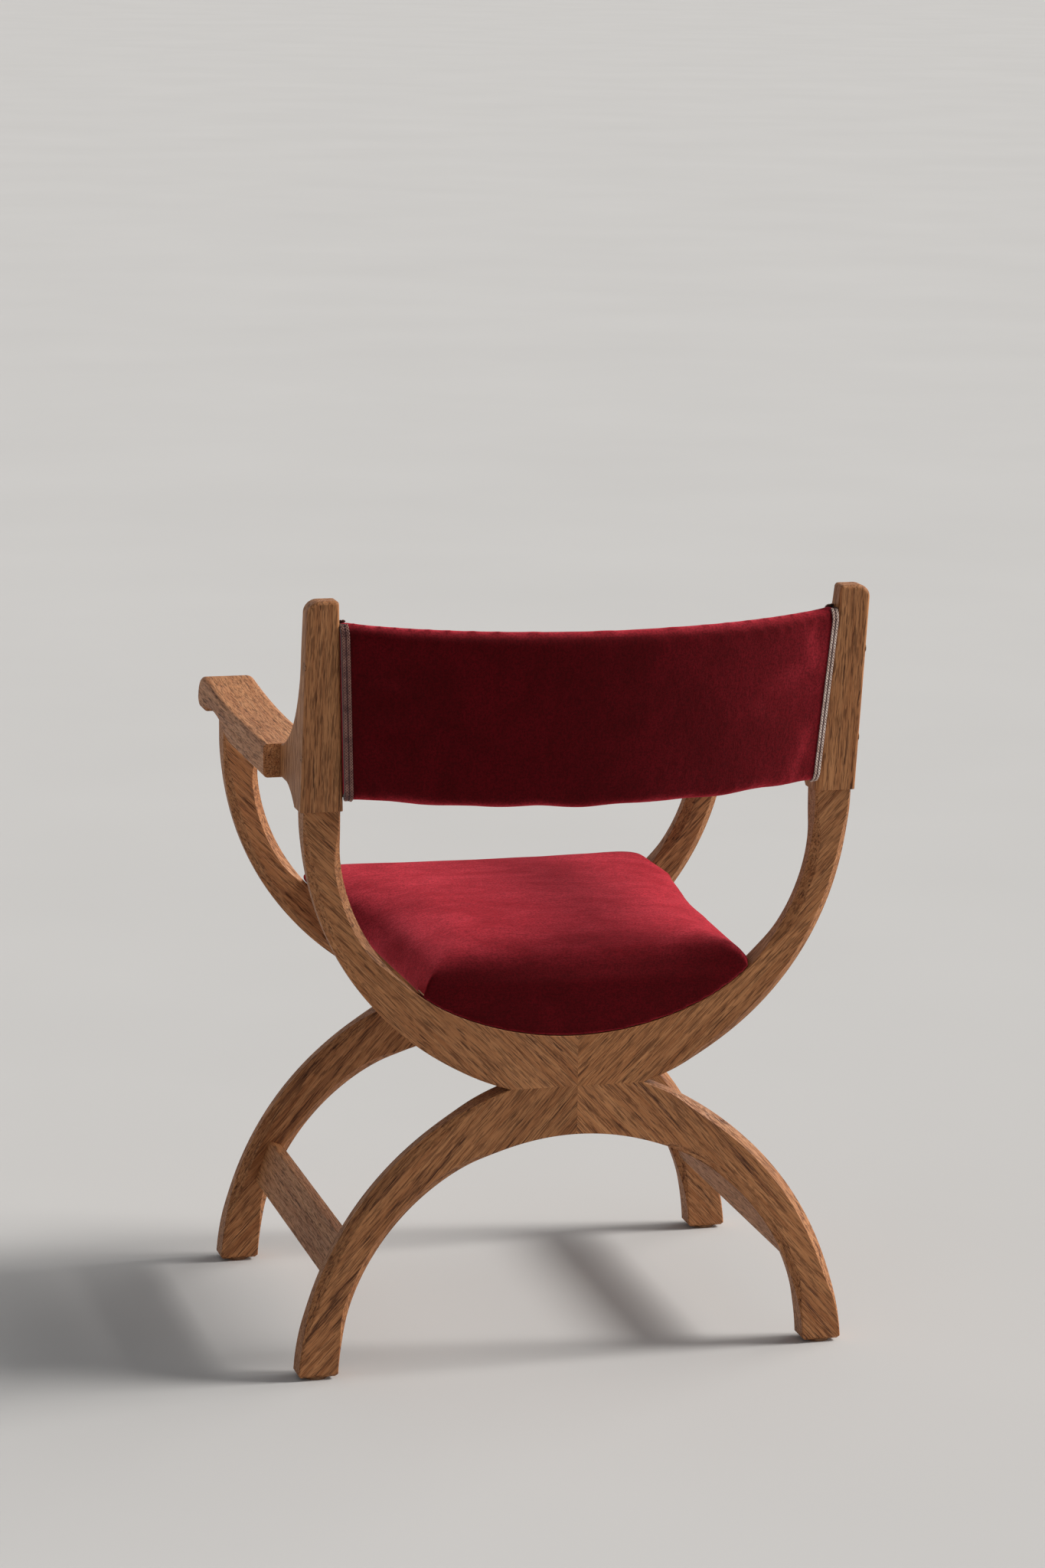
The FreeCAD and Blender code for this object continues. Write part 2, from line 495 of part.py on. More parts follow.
# Stretchers
def stretcher():
    """The thin tilted board that ties the two frames together low down."""
    body = new_body("left_stretcher")
    sketch = new_sketch(body, "XZ_Plane", x=STRETCHER_HALF, y="stretcher_height", z="board_thick",
                        turn="stretcher_tilt")
    draw(sketch, [("-stretcher_thick / 2", "-stretcher_wide / 2"),
                  ("stretcher_thick / 2", "-stretcher_wide / 2"),
                  ("stretcher_thick / 2", "stretcher_wide / 2"),
                  ("-stretcher_thick / 2", "stretcher_wide / 2")])
    pad(body, sketch, f"{FRONT_FRAME} - board_thick")
    soften(body, "Fillet", "stretcher_soft",
           lambda edge: abs(abs(edge.Vertexes[0].Y - edge.Vertexes[-1].Y) - edge.Length) < NEAR)
    for x, z in STRETCHER_DOWELS:
        for start in ("-(board_thick + dowel_half + dowel_fit)", f"-{FRONT_FRAME}"):
            drill(body, "stretcher_dowel_radius + dowel_fit", "dowel_half + dowel_fit", "y",
                  x=x, y=start, z=z)
    return body


mirrored(stretcher(), "right_stretcher")


# Dowels
FRAME_MIDDLES = ("-board_thick / 2", f"-({FRONT_FRAME} + board_thick / 2)")
SIDES = ("", "-")
group("crossing_dowels", [
    rod("crossing_dowel", "dowel_radius", "2 * dowel_half", "z",
        f"{side}crossing_dowel_half", middle, f"{CROSSING} - dowel_half")
    for side in SIDES for middle in FRAME_MIDDLES])
group("mitre_dowels", [
    rod("mitre_dowel", "dowel_radius", "2 * dowel_half", "x", "-dowel_half", middle, height)
    for height in (f"{CROSSING} + upper_rise / 2", f"({LOWER_INNER_TOP} + {CROSSING}) / 2")
    for middle in FRAME_MIDDLES])
group("post_dowels", [
    rod("post_dowel", "dowel_radius", "2 * dowel_half", "z",
        f"{side}{POST_MIDDLE}", "-board_thick / 2", f"{STEP} - dowel_half")
    for side in SIDES])
group("armrest_dowels", [
    rod("ear_dowel", "dowel_radius", "2 * dowel_half", "y",
        f"{side}({ARM_DOWEL_MIDDLE} {spread} arm_dowel_spread / 2)", "-(arm_joint_reach + dowel_half)",
        f"{ARM_TOP} - arm_thick / 2")
    for side in SIDES for spread in ("-", "+")] + [
    rod("housing_dowel", "dowel_radius", "2 * dowel_half", "z",
        f"{side}{POST_MIDDLE}", FRAME_MIDDLES[1], f"{HOUSING_HEIGHT} - dowel_half")
    for side in SIDES])
group("stretcher_dowels", [
    rod("stretcher_dowel", "stretcher_dowel_radius", "2 * dowel_half", "y",
        f"{side}({x})", f"-({face} + dowel_half)", z)
    for side in SIDES for x, z in STRETCHER_DOWELS for face in ("board_thick", FRONT_FRAME)])


# Glides
def glide(side, middle):
    """A nail-on glide: a disc under the foot and its nail."""
    x = f"{side}({FOOT_INNER} + foot_outer_half) / 2"
    disc = rod("glide_disc", "glide_radius", "glide_thick", "z", x, middle, "0")
    nail = rod("glide_nail", "glide_nail_radius", "glide_nail_length + glide_thick", "z", x, middle, "0")
    return fused("glide", [disc, nail])


group("foot_glides", [glide(side, middle) for side in SIDES for middle in FRAME_MIDDLES])


# Seat
def seat_outline(inset, narrow, top, side):
    """The seat's cross outline in the U of the frames, from the heights of its top and its sides."""
    low = f"(upper_bottom_radius - soft_gap - {inset})"
    flank = f"({UPPER_SIDE_RADIUS} - soft_gap - {inset})"
    share = f"({flank} / ({UPPER_SIDE_RADIUS} - soft_gap))"
    fall = f"({UPPER_SIDE_CENTRE} - {side})"
    out = f"sqrt(({UPPER_SIDE_RADIUS} - soft_gap)^2 - {fall}^2)"
    join = (f"{low} * sin({UPPER_TURN})", f"{UPPER_LOW} + upper_bottom_radius - {low} * cos({UPPER_TURN})")
    shoulder = (f"{UPPER_INNER} - {UPPER_SIDE_RADIUS} + {out} * {share}",
                f"{UPPER_SIDE_CENTRE} - {fall} * {share}")
    half = f"({UPPER_INNER} - {UPPER_SIDE_RADIUS} + {out} - seat_shoulder - {narrow})"
    height = f"{top} - {inset}"
    roll = f"seat_roll_radius - {inset}"
    return [("-(" + join[0] + ")", join[1], low, 1),
            (join[0], join[1], flank, 1),
            (shoulder[0], shoulder[1], roll, 1),
            (half, height, "seat_crown_radius", 1),
            ("-" + half, height, roll, 1),
            ("-(" + shoulder[0] + ")", shoulder[1], flank, 1)]


ROLL_TURNS = (0, 20, 45, 90)


def seat_form(body, kind, inset):
    """The crowned seat, sloped to the rear, with rolled front and rear edges, set in all round."""
    ends = [(f"({inset} + (seat_end_run - {inset}) * (1 - cos({turn}deg)))", f"(1 - sin({turn}deg))", "0")
            for turn in ROLL_TURNS]
    middle = [("(frame_depth / 2)", "0", "seat_middle_rise")]
    mirror = [(f"(frame_depth - {reach})", share, rise) for reach, share, rise in reversed(ends)]
    sections = []
    for reach, share, rise in ends + middle + mirror:
        rear = f"(1 - {reach} / frame_depth)"
        outline = seat_outline(
            inset, f"seat_end_inset * {share}",
            f"({UPPER_LOW} + seat_tall - seat_pitch * {rear} - seat_end_drop * {share} + {rise})",
            f"({UPPER_LOW} + seat_side_tall - seat_side_fall * {rear} - seat_side_drop * {share} + {rise})")
        sections.append(draw(new_sketch(body, "XZ_Plane", z=reach), outline))
    loft = body.newObject("PartDesign::" + kind, body.Name + "_loft")
    loft.Profile = sections[0]
    loft.Sections = sections[1:]
    loft.Ruled = True
    return loft


def seat_cover():
    """The velvet cover, drawn over the seat and turned in under it round an opening."""
    body = new_body("seat_cover")
    seat_form(body, "AdditiveLoft", "0")
    seat_form(body, "SubtractiveLoft", "cloth_thick")
    sketch = new_sketch(body, "XY_Plane", z=f"{UPPER_LOW} - overrun")
    draw(sketch, [(f"-{DUST_OPENING_HALF}", "-seat_margin"),
                  (DUST_OPENING_HALF, "-seat_margin"),
                  (DUST_OPENING_HALF, "-(frame_depth - seat_margin)"),
                  (f"-{DUST_OPENING_HALF}", "-(frame_depth - seat_margin)")])
    pocket(body, sketch, "seat_margin + overrun", Reversed=True)
    for side in SIDES:
        for middle in FRAME_MIDDLES:
            drill(body, "screw_radius + dowel_fit", "board_thick", "z", x=f"{side}seat_screw_half", y=middle,
                  z=f"{SEAT_SCREW_HEAD} + seat_screw_length - seat_screw_bite - board_thick / 2")
    return body


def seat_foam():
    """The foam pad between the seat board and the cover."""
    body = new_body("seat_foam")
    seat_form(body, "AdditiveLoft", SOFT_INSET)
    sketch = new_sketch(body, "XY_Plane", z=f"{SEAT_RAIL_TOP} + seat_board_thick")
    draw(sketch, [("-upper_outer_half", "overrun"),
                  ("upper_outer_half", "overrun"),
                  ("upper_outer_half", "-(frame_depth + overrun)"),
                  ("-upper_outer_half", "-(frame_depth + overrun)")])
    pocket(body, sketch, SEAT_RAIL_TOP)
    return body


def seat_rail(label, face, screw_at):
    """A curved rail of the seat's own frame, lying in the U under the front or the rear edge."""
    body = new_body(label)
    sketch = new_sketch(body, "XZ_Plane", z=face)
    low = f"(upper_bottom_radius - soft_gap - {SOFT_INSET})"
    side = f"({UPPER_SIDE_RADIUS} - soft_gap - {SOFT_INSET})"
    join = (f"{low} * sin({UPPER_TURN})", f"{UPPER_LOW} + upper_bottom_radius - {low} * cos({UPPER_TURN})")
    draw(sketch, [("-(" + join[0] + ")", join[1], low, 1),
                  (join[0], join[1], side, 1),
                  (SEAT_RAIL_END, SEAT_RAIL_TOP),
                  ("-" + SEAT_RAIL_END, SEAT_RAIL_TOP, side, 1)])
    pad(body, sketch, "seat_rail_thick")
    for way in SIDES:
        drill(body, "screw_radius + dowel_fit", "seat_screw_bite + overrun", "z", x=f"{way}seat_screw_half",
              y=screw_at, z=f"{SEAT_SCREW_HEAD} + seat_screw_length - seat_screw_bite - overrun")
    return body


def block(label, x, y, z, long, deep, tall):
    """A plain board from its lower, rear and right corner."""
    board = doc.addObject("Part::Box", label)
    board.Label = label
    bind(board, Length=long, Width=deep, Height=tall, Placement__Base__x=x,
         Placement__Base__y=f"{REAR_FACE} + {y}", Placement__Base__z=z)
    return board


seat_cover()
seat_foam()
seat_rail("seat_rear_rail", SOFT_INSET, FRAME_MIDDLES[0])
seat_rail("seat_front_rail", f"frame_depth - {SOFT_INSET} - seat_rail_thick", FRAME_MIDDLES[1])
left = block("left_seat_side_rail", SEAT_SIDE_RAIL,
             f"{SOFT_INSET} + seat_rail_thick - frame_depth", f"{SEAT_RAIL_TOP} - seat_side_rail_deep",
             "seat_side_rail_thick", f"frame_depth - 2 * ({SOFT_INSET} + seat_rail_thick)",
             "seat_side_rail_deep")
mirrored(left, "right_seat_side_rail")
block("seat_board", f"-{SEAT_BOARD_HALF}", f"{SOFT_INSET} - frame_depth", SEAT_RAIL_TOP,
      f"2 * {SEAT_BOARD_HALF}", f"frame_depth - 2 * {SOFT_INSET}", "seat_board_thick")


def dust_cloth():
    """The thin cloth that closes the opening under the seat."""
    body = new_body("seat_dust_cloth")
    sketch = new_sketch(body, "XZ_Plane", z=f"{SOFT_INSET} + seat_rail_thick + piece_gap")
    lower = f"(upper_bottom_radius - soft_gap - {SOFT_INSET})"
    upper = f"({lower} - dust_cloth_thick)"
    height = f"{UPPER_LOW} + upper_bottom_radius - "
    share = f"{upper} / {lower}"
    low = f"({height}sqrt({lower}^2 - {DUST_CLOTH_HALF}^2))"
    high = f"({height}sqrt({lower}^2 - {DUST_CLOTH_HALF}^2) * {share})"
    draw(sketch, [(f"-{DUST_CLOTH_HALF}", low, lower, 1),
                  (DUST_CLOTH_HALF, low),
                  (f"{DUST_CLOTH_HALF} * {share}", high, upper, -1),
                  (f"-{DUST_CLOTH_HALF} * {share}", high)])
    pad(body, sketch, f"frame_depth - 2 * ({SOFT_INSET} + seat_rail_thick + piece_gap)")
    return body


dust_cloth()


def seat_screw(side, middle):
    """A screw up through an upper arc into the seat's own frame."""
    x = f"{side}seat_screw_half"
    head = rod("seat_screw_head", "screw_head_radius", "screw_head_depth", "z", x, middle,
               f"{SEAT_SCREW_HEAD} - screw_head_depth")
    shank = rod("seat_screw_shank", "screw_radius", "seat_screw_length + screw_head_depth", "z", x, middle,
                f"{SEAT_SCREW_HEAD} - screw_head_depth")
    return fused("seat_screw", [head, shank])


group("seat_screws", [seat_screw(side, middle) for side in SIDES for middle in FRAME_MIDDLES])


# Back
def raked_body(label):
    """An empty body leaning back with the posts, its origin at the foot of their rear faces."""
    body = doc.addObject("PartDesign::Body", label)
    body.Label = label
    rake_body(body)
    return body


def rake_body(thing):
    """Leans a piece back with the posts."""
    thing.Placement = FreeCAD.Placement(FreeCAD.Vector(), FreeCAD.Rotation(AXIS["x"] * -1, 1))
    bind(thing, Placement__Base__y=f"{REAR_FACE} + post_proud", Placement__Base__z=STEP,
         Placement__Rotation__Angle="post_rake")


def bowed(body, kind, near, far, low, high, corner):
    """A bowed slab between two radii and two heights, with rounded long edges when a radius is given."""
    sketch = new_sketch(body, "YZ_Plane", x=BACK_CENTRE)
    if corner is None:
        draw(sketch, [(near, low), (far, low), (far, high), (near, high)])
    else:
        draw(sketch, [(f"{near} + {corner}", low), (f"{far} - {corner}", low, corner, 1),
                      (far, f"{low} + {corner}"), (far, f"{high} - {corner}", corner, 1),
                      (f"{far} - {corner}", high), (f"{near} + {corner}", high, corner, 1),
                      (near, f"{high} - {corner}"), (near, f"{low} + {corner}", corner, 1)])
    turned = body.newObject("PartDesign::" + kind, body.Name + "_turned")
    turned.Profile = sketch
    turned.ReferenceAxis = (sketch, ["V_Axis"])
    turned.Midplane = True
    bind(turned, Angle=f"2 * asin({POST_OUTER} / back_bow_radius)")
    return turned


def trim(body, inset, inward=False):
    """Cuts the slab off along the posts' inner faces, or all that lies inward of such a line."""
    sketch = new_sketch(body, "XZ_Plane", z=f"-{BACK_APEX} - overrun - gimp_thick")
    low, high = "-overrun", f"({POST_LONG} + overrun)"
    foot = f"({POST_INNER} - post_top_shift / {POST_LONG} * overrun - {inset})"
    head = f"({POST_INNER} + post_top_shift / {POST_LONG} * {high} - {inset})"
    far = f"-{ARM_OUTER}" if inward else ARM_OUTER
    draw(sketch, [(foot, low), (far, low), (far, high), (head, high)])
    if not inward:
        draw(sketch, [(f"-{foot}", low), (f"-{head}", high), (f"-{far}", high), (f"-{far}", low)])
    pocket(body, sketch, "back_bow_radius", Reversed=True)


def back_cover():
    """The velvet sleeve round the bowed panel."""
    body = raked_body("back_cover")
    near, far = "(back_bow_radius - back_thick)", "back_bow_radius"
    bowed(body, "Revolution", near, far, "back_low", BACK_TOP, "back_edge_radius")
    bowed(body, "Groove", f"({near} + cloth_thick)", f"({far} - cloth_thick)",
          "(back_low + cloth_thick)", f"({BACK_TOP} - cloth_thick)", "(back_edge_radius - cloth_thick)")
    trim(body, "soft_gap")
    return body


def back_core():
    """The bent plywood core, screwed between the posts."""
    body = raked_body("back_core")
    near = "(back_bow_radius - (back_thick + back_core_thick) / 2)"
    far = "(back_bow_radius - (back_thick - back_core_thick) / 2)"
    bowed(body, "Revolution", near, far,
          "(back_low + back_core_inset)", f"({BACK_TOP} - back_core_inset)", None)
    trim(body, "soft_gap")
    for spread in ("-", "+"):
        for start in (f"{POST_OUTER} - plug_depth - back_screw_length - dowel_fit", f"-({POST_OUTER})"):
            drill(body, "screw_radius + dowel_fit", "plug_depth + back_screw_length + dowel_fit", "x",
                  x=start, y=BACK_SCREW_Y, z=f"(back_low + {BACK_TOP}) / 2 {spread} back_screw_spread / 2")
    return body


def back_foam():
    """The foam wrapped round the core under the velvet."""
    body = raked_body("back_foam")
    near, far = "(back_bow_radius - back_thick", "(back_bow_radius"
    bowed(body, "Revolution", f"{near} + {SOFT_INSET})", f"{far} - {SOFT_INSET})",
          f"(back_low + {SOFT_INSET})", f"({BACK_TOP} - {SOFT_INSET})", f"(back_edge_radius - {SOFT_INSET})")
    bowed(body, "Groove", "(back_bow_radius - (back_thick + back_core_thick) / 2 - piece_gap)",
          "(back_bow_radius - (back_thick - back_core_thick) / 2 + piece_gap)",
          "(back_low + back_core_inset - piece_gap)", f"({BACK_TOP} - back_core_inset + piece_gap)", None)
    trim(body, "soft_gap")
    return body


def gimp(label, near, far):
    """A braid strip along one end of the panel."""
    body = raked_body(label)
    bowed(body, "Revolution", near, far,
          "(back_low + gimp_end_inset)", f"({BACK_TOP} - gimp_end_inset)", None)
    trim(body, "soft_gap")
    trim(body, "(soft_gap + gimp_wide)", inward=True)
    return body


back_cover()
back_core()
back_foam()
for face, near, far in (
        ("rear", "(back_bow_radius + piece_gap)", "(back_bow_radius + piece_gap + gimp_thick)"),
        ("front", "(back_bow_radius - back_thick - piece_gap - gimp_thick)",
         "(back_bow_radius - back_thick - piece_gap)")):
    mirrored(gimp(f"left_{face}_gimp", near, far), f"right_{face}_gimp")


def raked_rod(name, radius, length, x, spread):
    """A round bar along x in the leaning plane of the posts, beside the core."""
    bar = doc.addObject("Part::Cylinder", name)
    bar.Placement = FreeCAD.Placement(FreeCAD.Vector(), FreeCAD.Rotation(AXIS["y"], 90))
    height = f"((back_low + {BACK_TOP}) / 2 {spread} back_screw_spread / 2)"
    reach = f"{BACK_SCREW_Y} * cos({RAKE}) + {height} * sin({RAKE})"
    bind(bar, Radius=radius, Height=length, Placement__Base__x=x,
         Placement__Base__y=f"{REAR_FACE} + post_proud + {reach}",
         Placement__Base__z=f"{STEP} - {BACK_SCREW_Y} * sin({RAKE}) + {height} * cos({RAKE})")
    return bar


def back_screw(spread):
    """A screw from the post's outer face into the end of the core."""
    head = raked_rod("back_screw_head", "screw_head_radius", "screw_head_depth",
                     f"{POST_OUTER} - plug_depth - screw_head_depth", spread)
    shank = raked_rod("back_screw_shank", "screw_radius", "back_screw_length",
                      f"{POST_OUTER} - plug_depth - back_screw_length", spread)
    return fused("back_screw", [head, shank])


def both(pieces):
    """The pieces and their mirror images."""
    return pieces + [mirrored(piece, piece.Name + "_right") for piece in pieces]


group("back_screws", both([back_screw(spread) for spread in ("-", "+")]))
group("back_screw_plugs", both([
    raked_rod("back_screw_plug", "plug_radius", "plug_depth", f"{POST_OUTER} - plug_depth", spread)
    for spread in ("-", "+")]))


# Export
doc.recompute()
NODES = """
rear_upper_left_arc rear_upper_right_arc rear_lower_left_arc rear_lower_right_arc
front_upper_left_arc front_upper_right_arc front_lower_left_arc front_lower_right_arc
left_back_post right_back_post left_armrest right_armrest left_stretcher right_stretcher
crossing_dowels mitre_dowels post_dowels armrest_dowels stretcher_dowels foot_glides
seat_cover seat_foam seat_board seat_rear_rail seat_front_rail left_seat_side_rail
right_seat_side_rail seat_dust_cloth seat_screws back_cover back_foam back_core
left_rear_gimp right_rear_gimp left_front_gimp right_front_gimp back_screws back_screw_plugs
""".split()
for thing in doc.Objects:
    if {"Invalid", "Error"} & set(thing.State):
        raise ValueError(thing.Name + " is not well formed: " + str(thing.State))
for node in NODES:
    piece = doc.getObjectsByLabel(node)[0]
    shape = piece.Shape
    if shape.isNull() or not shape.isValid() or not shape.Solids:
        raise ValueError(node + " has no sound solid")
    bounds = shape.BoundBox
    print("%-24s %3d solids %10.1f mm3   x %7.1f %7.1f  y %7.1f %7.1f  z %7.1f %7.1f" % (
        node, len(shape.Solids), shape.Volume, bounds.XMin, bounds.XMax, bounds.YMin, bounds.YMax,
        bounds.ZMin, bounds.ZMax))
    shape.exportStep(os.path.join("parts", node + ".step"))
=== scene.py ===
from math import asin, atan2, cos, degrees, pi, radians, sin, sqrt

import bmesh
import bpy
from mathutils import Matrix, Vector
from mathutils.bvhtree import BVHTree


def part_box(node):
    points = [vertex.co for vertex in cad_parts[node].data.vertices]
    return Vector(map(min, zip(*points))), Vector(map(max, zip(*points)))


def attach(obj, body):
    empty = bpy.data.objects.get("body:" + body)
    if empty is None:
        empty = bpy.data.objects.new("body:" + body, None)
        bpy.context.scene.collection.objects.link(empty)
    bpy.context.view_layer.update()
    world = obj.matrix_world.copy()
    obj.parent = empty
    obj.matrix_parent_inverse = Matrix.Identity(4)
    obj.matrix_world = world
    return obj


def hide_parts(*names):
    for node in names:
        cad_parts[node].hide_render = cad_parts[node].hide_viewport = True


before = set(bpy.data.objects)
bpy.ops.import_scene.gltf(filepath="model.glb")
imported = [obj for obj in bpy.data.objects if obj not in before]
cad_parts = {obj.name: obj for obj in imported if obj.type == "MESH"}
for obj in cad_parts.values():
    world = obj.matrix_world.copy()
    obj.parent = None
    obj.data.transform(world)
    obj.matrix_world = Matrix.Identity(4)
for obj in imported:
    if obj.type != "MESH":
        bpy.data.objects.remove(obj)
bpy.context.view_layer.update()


# Oak
# The frame is solid light oak, planed, sanded and soaped. It is ring porous: fine rings along the
# fibre, open pores that show as short dark dashes on long faces and as dots on end grain.
OAK_PALE = (0.580, 0.262, 0.105, 1)
OAK_MID = (0.350, 0.126, 0.041, 1)
OAK_DARK = (0.150, 0.046, 0.014, 1)
OAK_PORE = (0.045, 0.012, 0.004, 1)


def add(tree, kind, inputs=None, **settings):
    """A node with its settings, and its inputs either linked or given a value."""
    made = tree.nodes.new(kind)
    for name, value in settings.items():
        setattr(made, name, value)
    for key, value in (inputs or {}).items():
        if isinstance(value, bpy.types.NodeSocket):
            tree.links.new(value, made.inputs[key])
        else:
            made.inputs[key].default_value = value
    return made


def math(tree, operation, first, second=0.0):
    """One sum on two numbers."""
    return add(tree, "ShaderNodeMath", {0: first, 1: second}, operation=operation).outputs[0]


def spread(tree, value, low, high, to_low=0.0, to_high=1.0):
    """A value stretched from one range to another, with soft ends."""
    ranged = add(tree, "ShaderNodeMapRange",
                 {"Value": value, "From Min": low, "From Max": high, "To Min": to_low, "To Max": to_high},
                 interpolation_type="SMOOTHSTEP")
    return ranged.outputs[0]


def blended(tree, factor, first, second, blend_type="MIX"):
    """Two colours mixed by a factor."""
    mixed = add(tree, "ShaderNodeMix", {0: factor, 6: first, 7: second},
                data_type="RGBA", blend_type=blend_type)
    return mixed.outputs[2]


def stretched(tree, vector, across):
    """Coordinates scaled along each axis."""
    return add(tree, "ShaderNodeVectorMath", {0: vector, 1: across}, operation="MULTIPLY").outputs[0]


def noise(tree, vector, across, detail=2.0, rough=0.5, distort=0.0):
    """Noise with a scale for each axis, in cells for each metre."""
    return add(tree, "ShaderNodeTexNoise",
               {"Vector": stretched(tree, vector, across), "Scale": 1.0, "Detail": detail,
                "Roughness": rough, "Distortion": distort})


def new_group(name, inputs, outputs):
    """An empty shader node group with named sockets, and its input and output nodes."""
    tree = bpy.data.node_groups.new(name, "ShaderNodeTree")
    kinds = {"c": "NodeSocketColor", "v": "NodeSocketVector", "f": "NodeSocketFloat"}
    for socket, kind in inputs:
        tree.interface.new_socket(socket, in_out="INPUT", socket_type=kinds[kind])
    for socket, kind in outputs:
        tree.interface.new_socket(socket, in_out="OUTPUT", socket_type=kinds[kind])
    return tree, tree.nodes.new("NodeGroupInput").outputs, tree.nodes.new("NodeGroupOutput")


def finish_group(tree, end, **values):
    """Links a group's results to its outputs."""
    for name, socket in values.items():
        tree.links.new(socket, end.inputs[name])


grain, given, end = new_group(
    "oak_grain", [("Vector", "v"), ("Pith", "v"), ("Rings", "f"), ("Shade", "f")],
    [("Color", "c"), ("Roughness", "f"), ("Height", "f")])
wander = noise(grain, given["Vector"], (2.2, 7.0, 7.0), 2.0)
shifted = add(grain, "ShaderNodeVectorMath", {0: wander.outputs["Color"], 1: (0.5, 0.5, 0.5)},
              operation="SUBTRACT")
bent = add(grain, "ShaderNodeVectorMath",
           {0: shifted.outputs[0], 1: (0.016, 0.016, 0.016), 2: given["Vector"]},
           operation="MULTIPLY_ADD").outputs[0]
from_pith = add(grain, "ShaderNodeVectorMath", {0: bent, 1: given["Pith"]}, operation="SUBTRACT")
flat = stretched(grain, from_pith.outputs[0], (0.0, 1.0, 1.0))
reach = add(grain, "ShaderNodeVectorMath", {0: flat}, operation="LENGTH").outputs["Value"]
uneven = noise(grain, flat, (95.0, 95.0, 95.0), 2.0).outputs["Fac"]
turn = math(grain, "ADD", math(grain, "MULTIPLY", reach, 1080.0), math(grain, "MULTIPLY", uneven, 14.0))
broken = noise(grain, bent, (6.0, 90.0, 90.0), 3.0, 0.6).outputs["Fac"]
ring = math(grain, "MULTIPLY", spread(grain, math(grain, "SINE", turn), 0.62, 0.98),
            spread(grain, broken, 0.34, 0.56))
fibre = noise(grain, bent, (10.0, 380.0, 380.0), 4.0, 0.62).outputs["Fac"]
streak = noise(grain, bent, (6.0, 135.0, 135.0), 3.0, 0.55).outputs["Fac"]
vessel = noise(grain, bent, (62.0, 1050.0, 1050.0), 1.5, 0.5).outputs["Fac"]
dash = noise(grain, bent, (42.0, 620.0, 620.0), 2.0, 0.55).outputs["Fac"]
patch = noise(grain, given["Vector"], (4.0, 9.0, 9.0), 2.0).outputs["Fac"]
fleck = noise(grain, bent, (75.0, 210.0, 700.0), 1.0).outputs["Fac"]
early = spread(grain, ring, 0.0, 1.0, 0.70, 1.0)
open_pore = math(grain, "MULTIPLY", spread(grain, vessel, 0.52, 0.62), early)
long_pore = math(grain, "MULTIPLY", spread(grain, dash, 0.515, 0.615), early)
pores = math(grain, "MAXIMUM", math(grain, "MULTIPLY", open_pore, 0.70), long_pore)
body_tone = math(grain, "ADD", math(grain, "MULTIPLY", spread(grain, fibre, 0.34, 0.68), 0.55),
                 math(grain, "MULTIPLY", spread(grain, streak, 0.32, 0.68), 0.45))
wood = blended(grain, body_tone, OAK_MID, OAK_PALE)
wood = blended(grain, math(grain, "MULTIPLY", ring, given["Rings"]), wood, OAK_DARK)
wood = blended(grain, math(grain, "MULTIPLY", spread(grain, fleck, 0.66, 0.80), 0.20), wood, OAK_PALE)
wood = blended(grain, math(grain, "MULTIPLY", pores, 0.84), wood, OAK_PORE)
shade = math(grain, "MULTIPLY", given["Shade"], spread(grain, patch, 0.25, 0.75, 0.88, 1.08))
shaded = add(grain, "ShaderNodeVectorMath", {0: wood}, operation="SCALE")
grain.links.new(shade, shaded.inputs["Scale"])
sheen = spread(grain, fibre, 0.2, 0.8, 0.60, 0.46)
rough = math(grain, "ADD", sheen, math(grain, "MULTIPLY", pores, 0.2))
height = math(grain, "SUBTRACT", math(grain, "MULTIPLY", fibre, 0.30), pores)
finish_group(grain, end, Color=shaded.outputs[0], Roughness=rough, Height=height)


def new_material(name):
    """A material with its own Principled shader, and its tree and shader."""
    made = bpy.data.materials.new(name)
    made.use_nodes = True
    shader = next(n for n in made.node_tree.nodes if n.type == "BSDF_PRINCIPLED")
    return made, made.node_tree, shader


def dress(tree, shader, color, roughness, height, depth, strength=1.0):
    """Links a finish's colour, roughness and relief to the shader."""
    tree.links.new(color, shader.inputs["Base Color"])
    if isinstance(roughness, bpy.types.NodeSocket):
        tree.links.new(roughness, shader.inputs["Roughness"])
    else:
        shader.inputs["Roughness"].default_value = roughness
    bump = add(tree, "ShaderNodeBump", {"Height": height, "Distance": depth, "Strength": strength})
    tree.links.new(bump.outputs[0], shader.inputs["Normal"])


def oak(name, along, pith, shift, rings=0.22, shade=1.0):
    """Oak with its fibre turned by degrees about each axis, its pith beside it, and a shift along it."""
    made, tree, shader = new_material(name)
    place = add(tree, "ShaderNodeTexCoord").outputs["Object"]
    turned = add(tree, "ShaderNodeMapping", {"Vector": place, "Location": (shift, 0.0, 0.0),
                                             "Rotation": [radians(turn) for turn in along]})
    look = add(tree, "ShaderNodeGroup", {}, node_tree=grain)
    tree.links.new(turned.outputs[0], look.inputs["Vector"])
    look.inputs["Pith"].default_value = pith
    look.inputs["Rings"].default_value = rings
    look.inputs["Shade"].default_value = shade
    dress(tree, shader, look.outputs["Color"], look.outputs["Roughness"], look.outputs["Height"],
          0.00035, 0.7)
    shader.inputs["Specular IOR Level"].default_value = 0.25
    return made


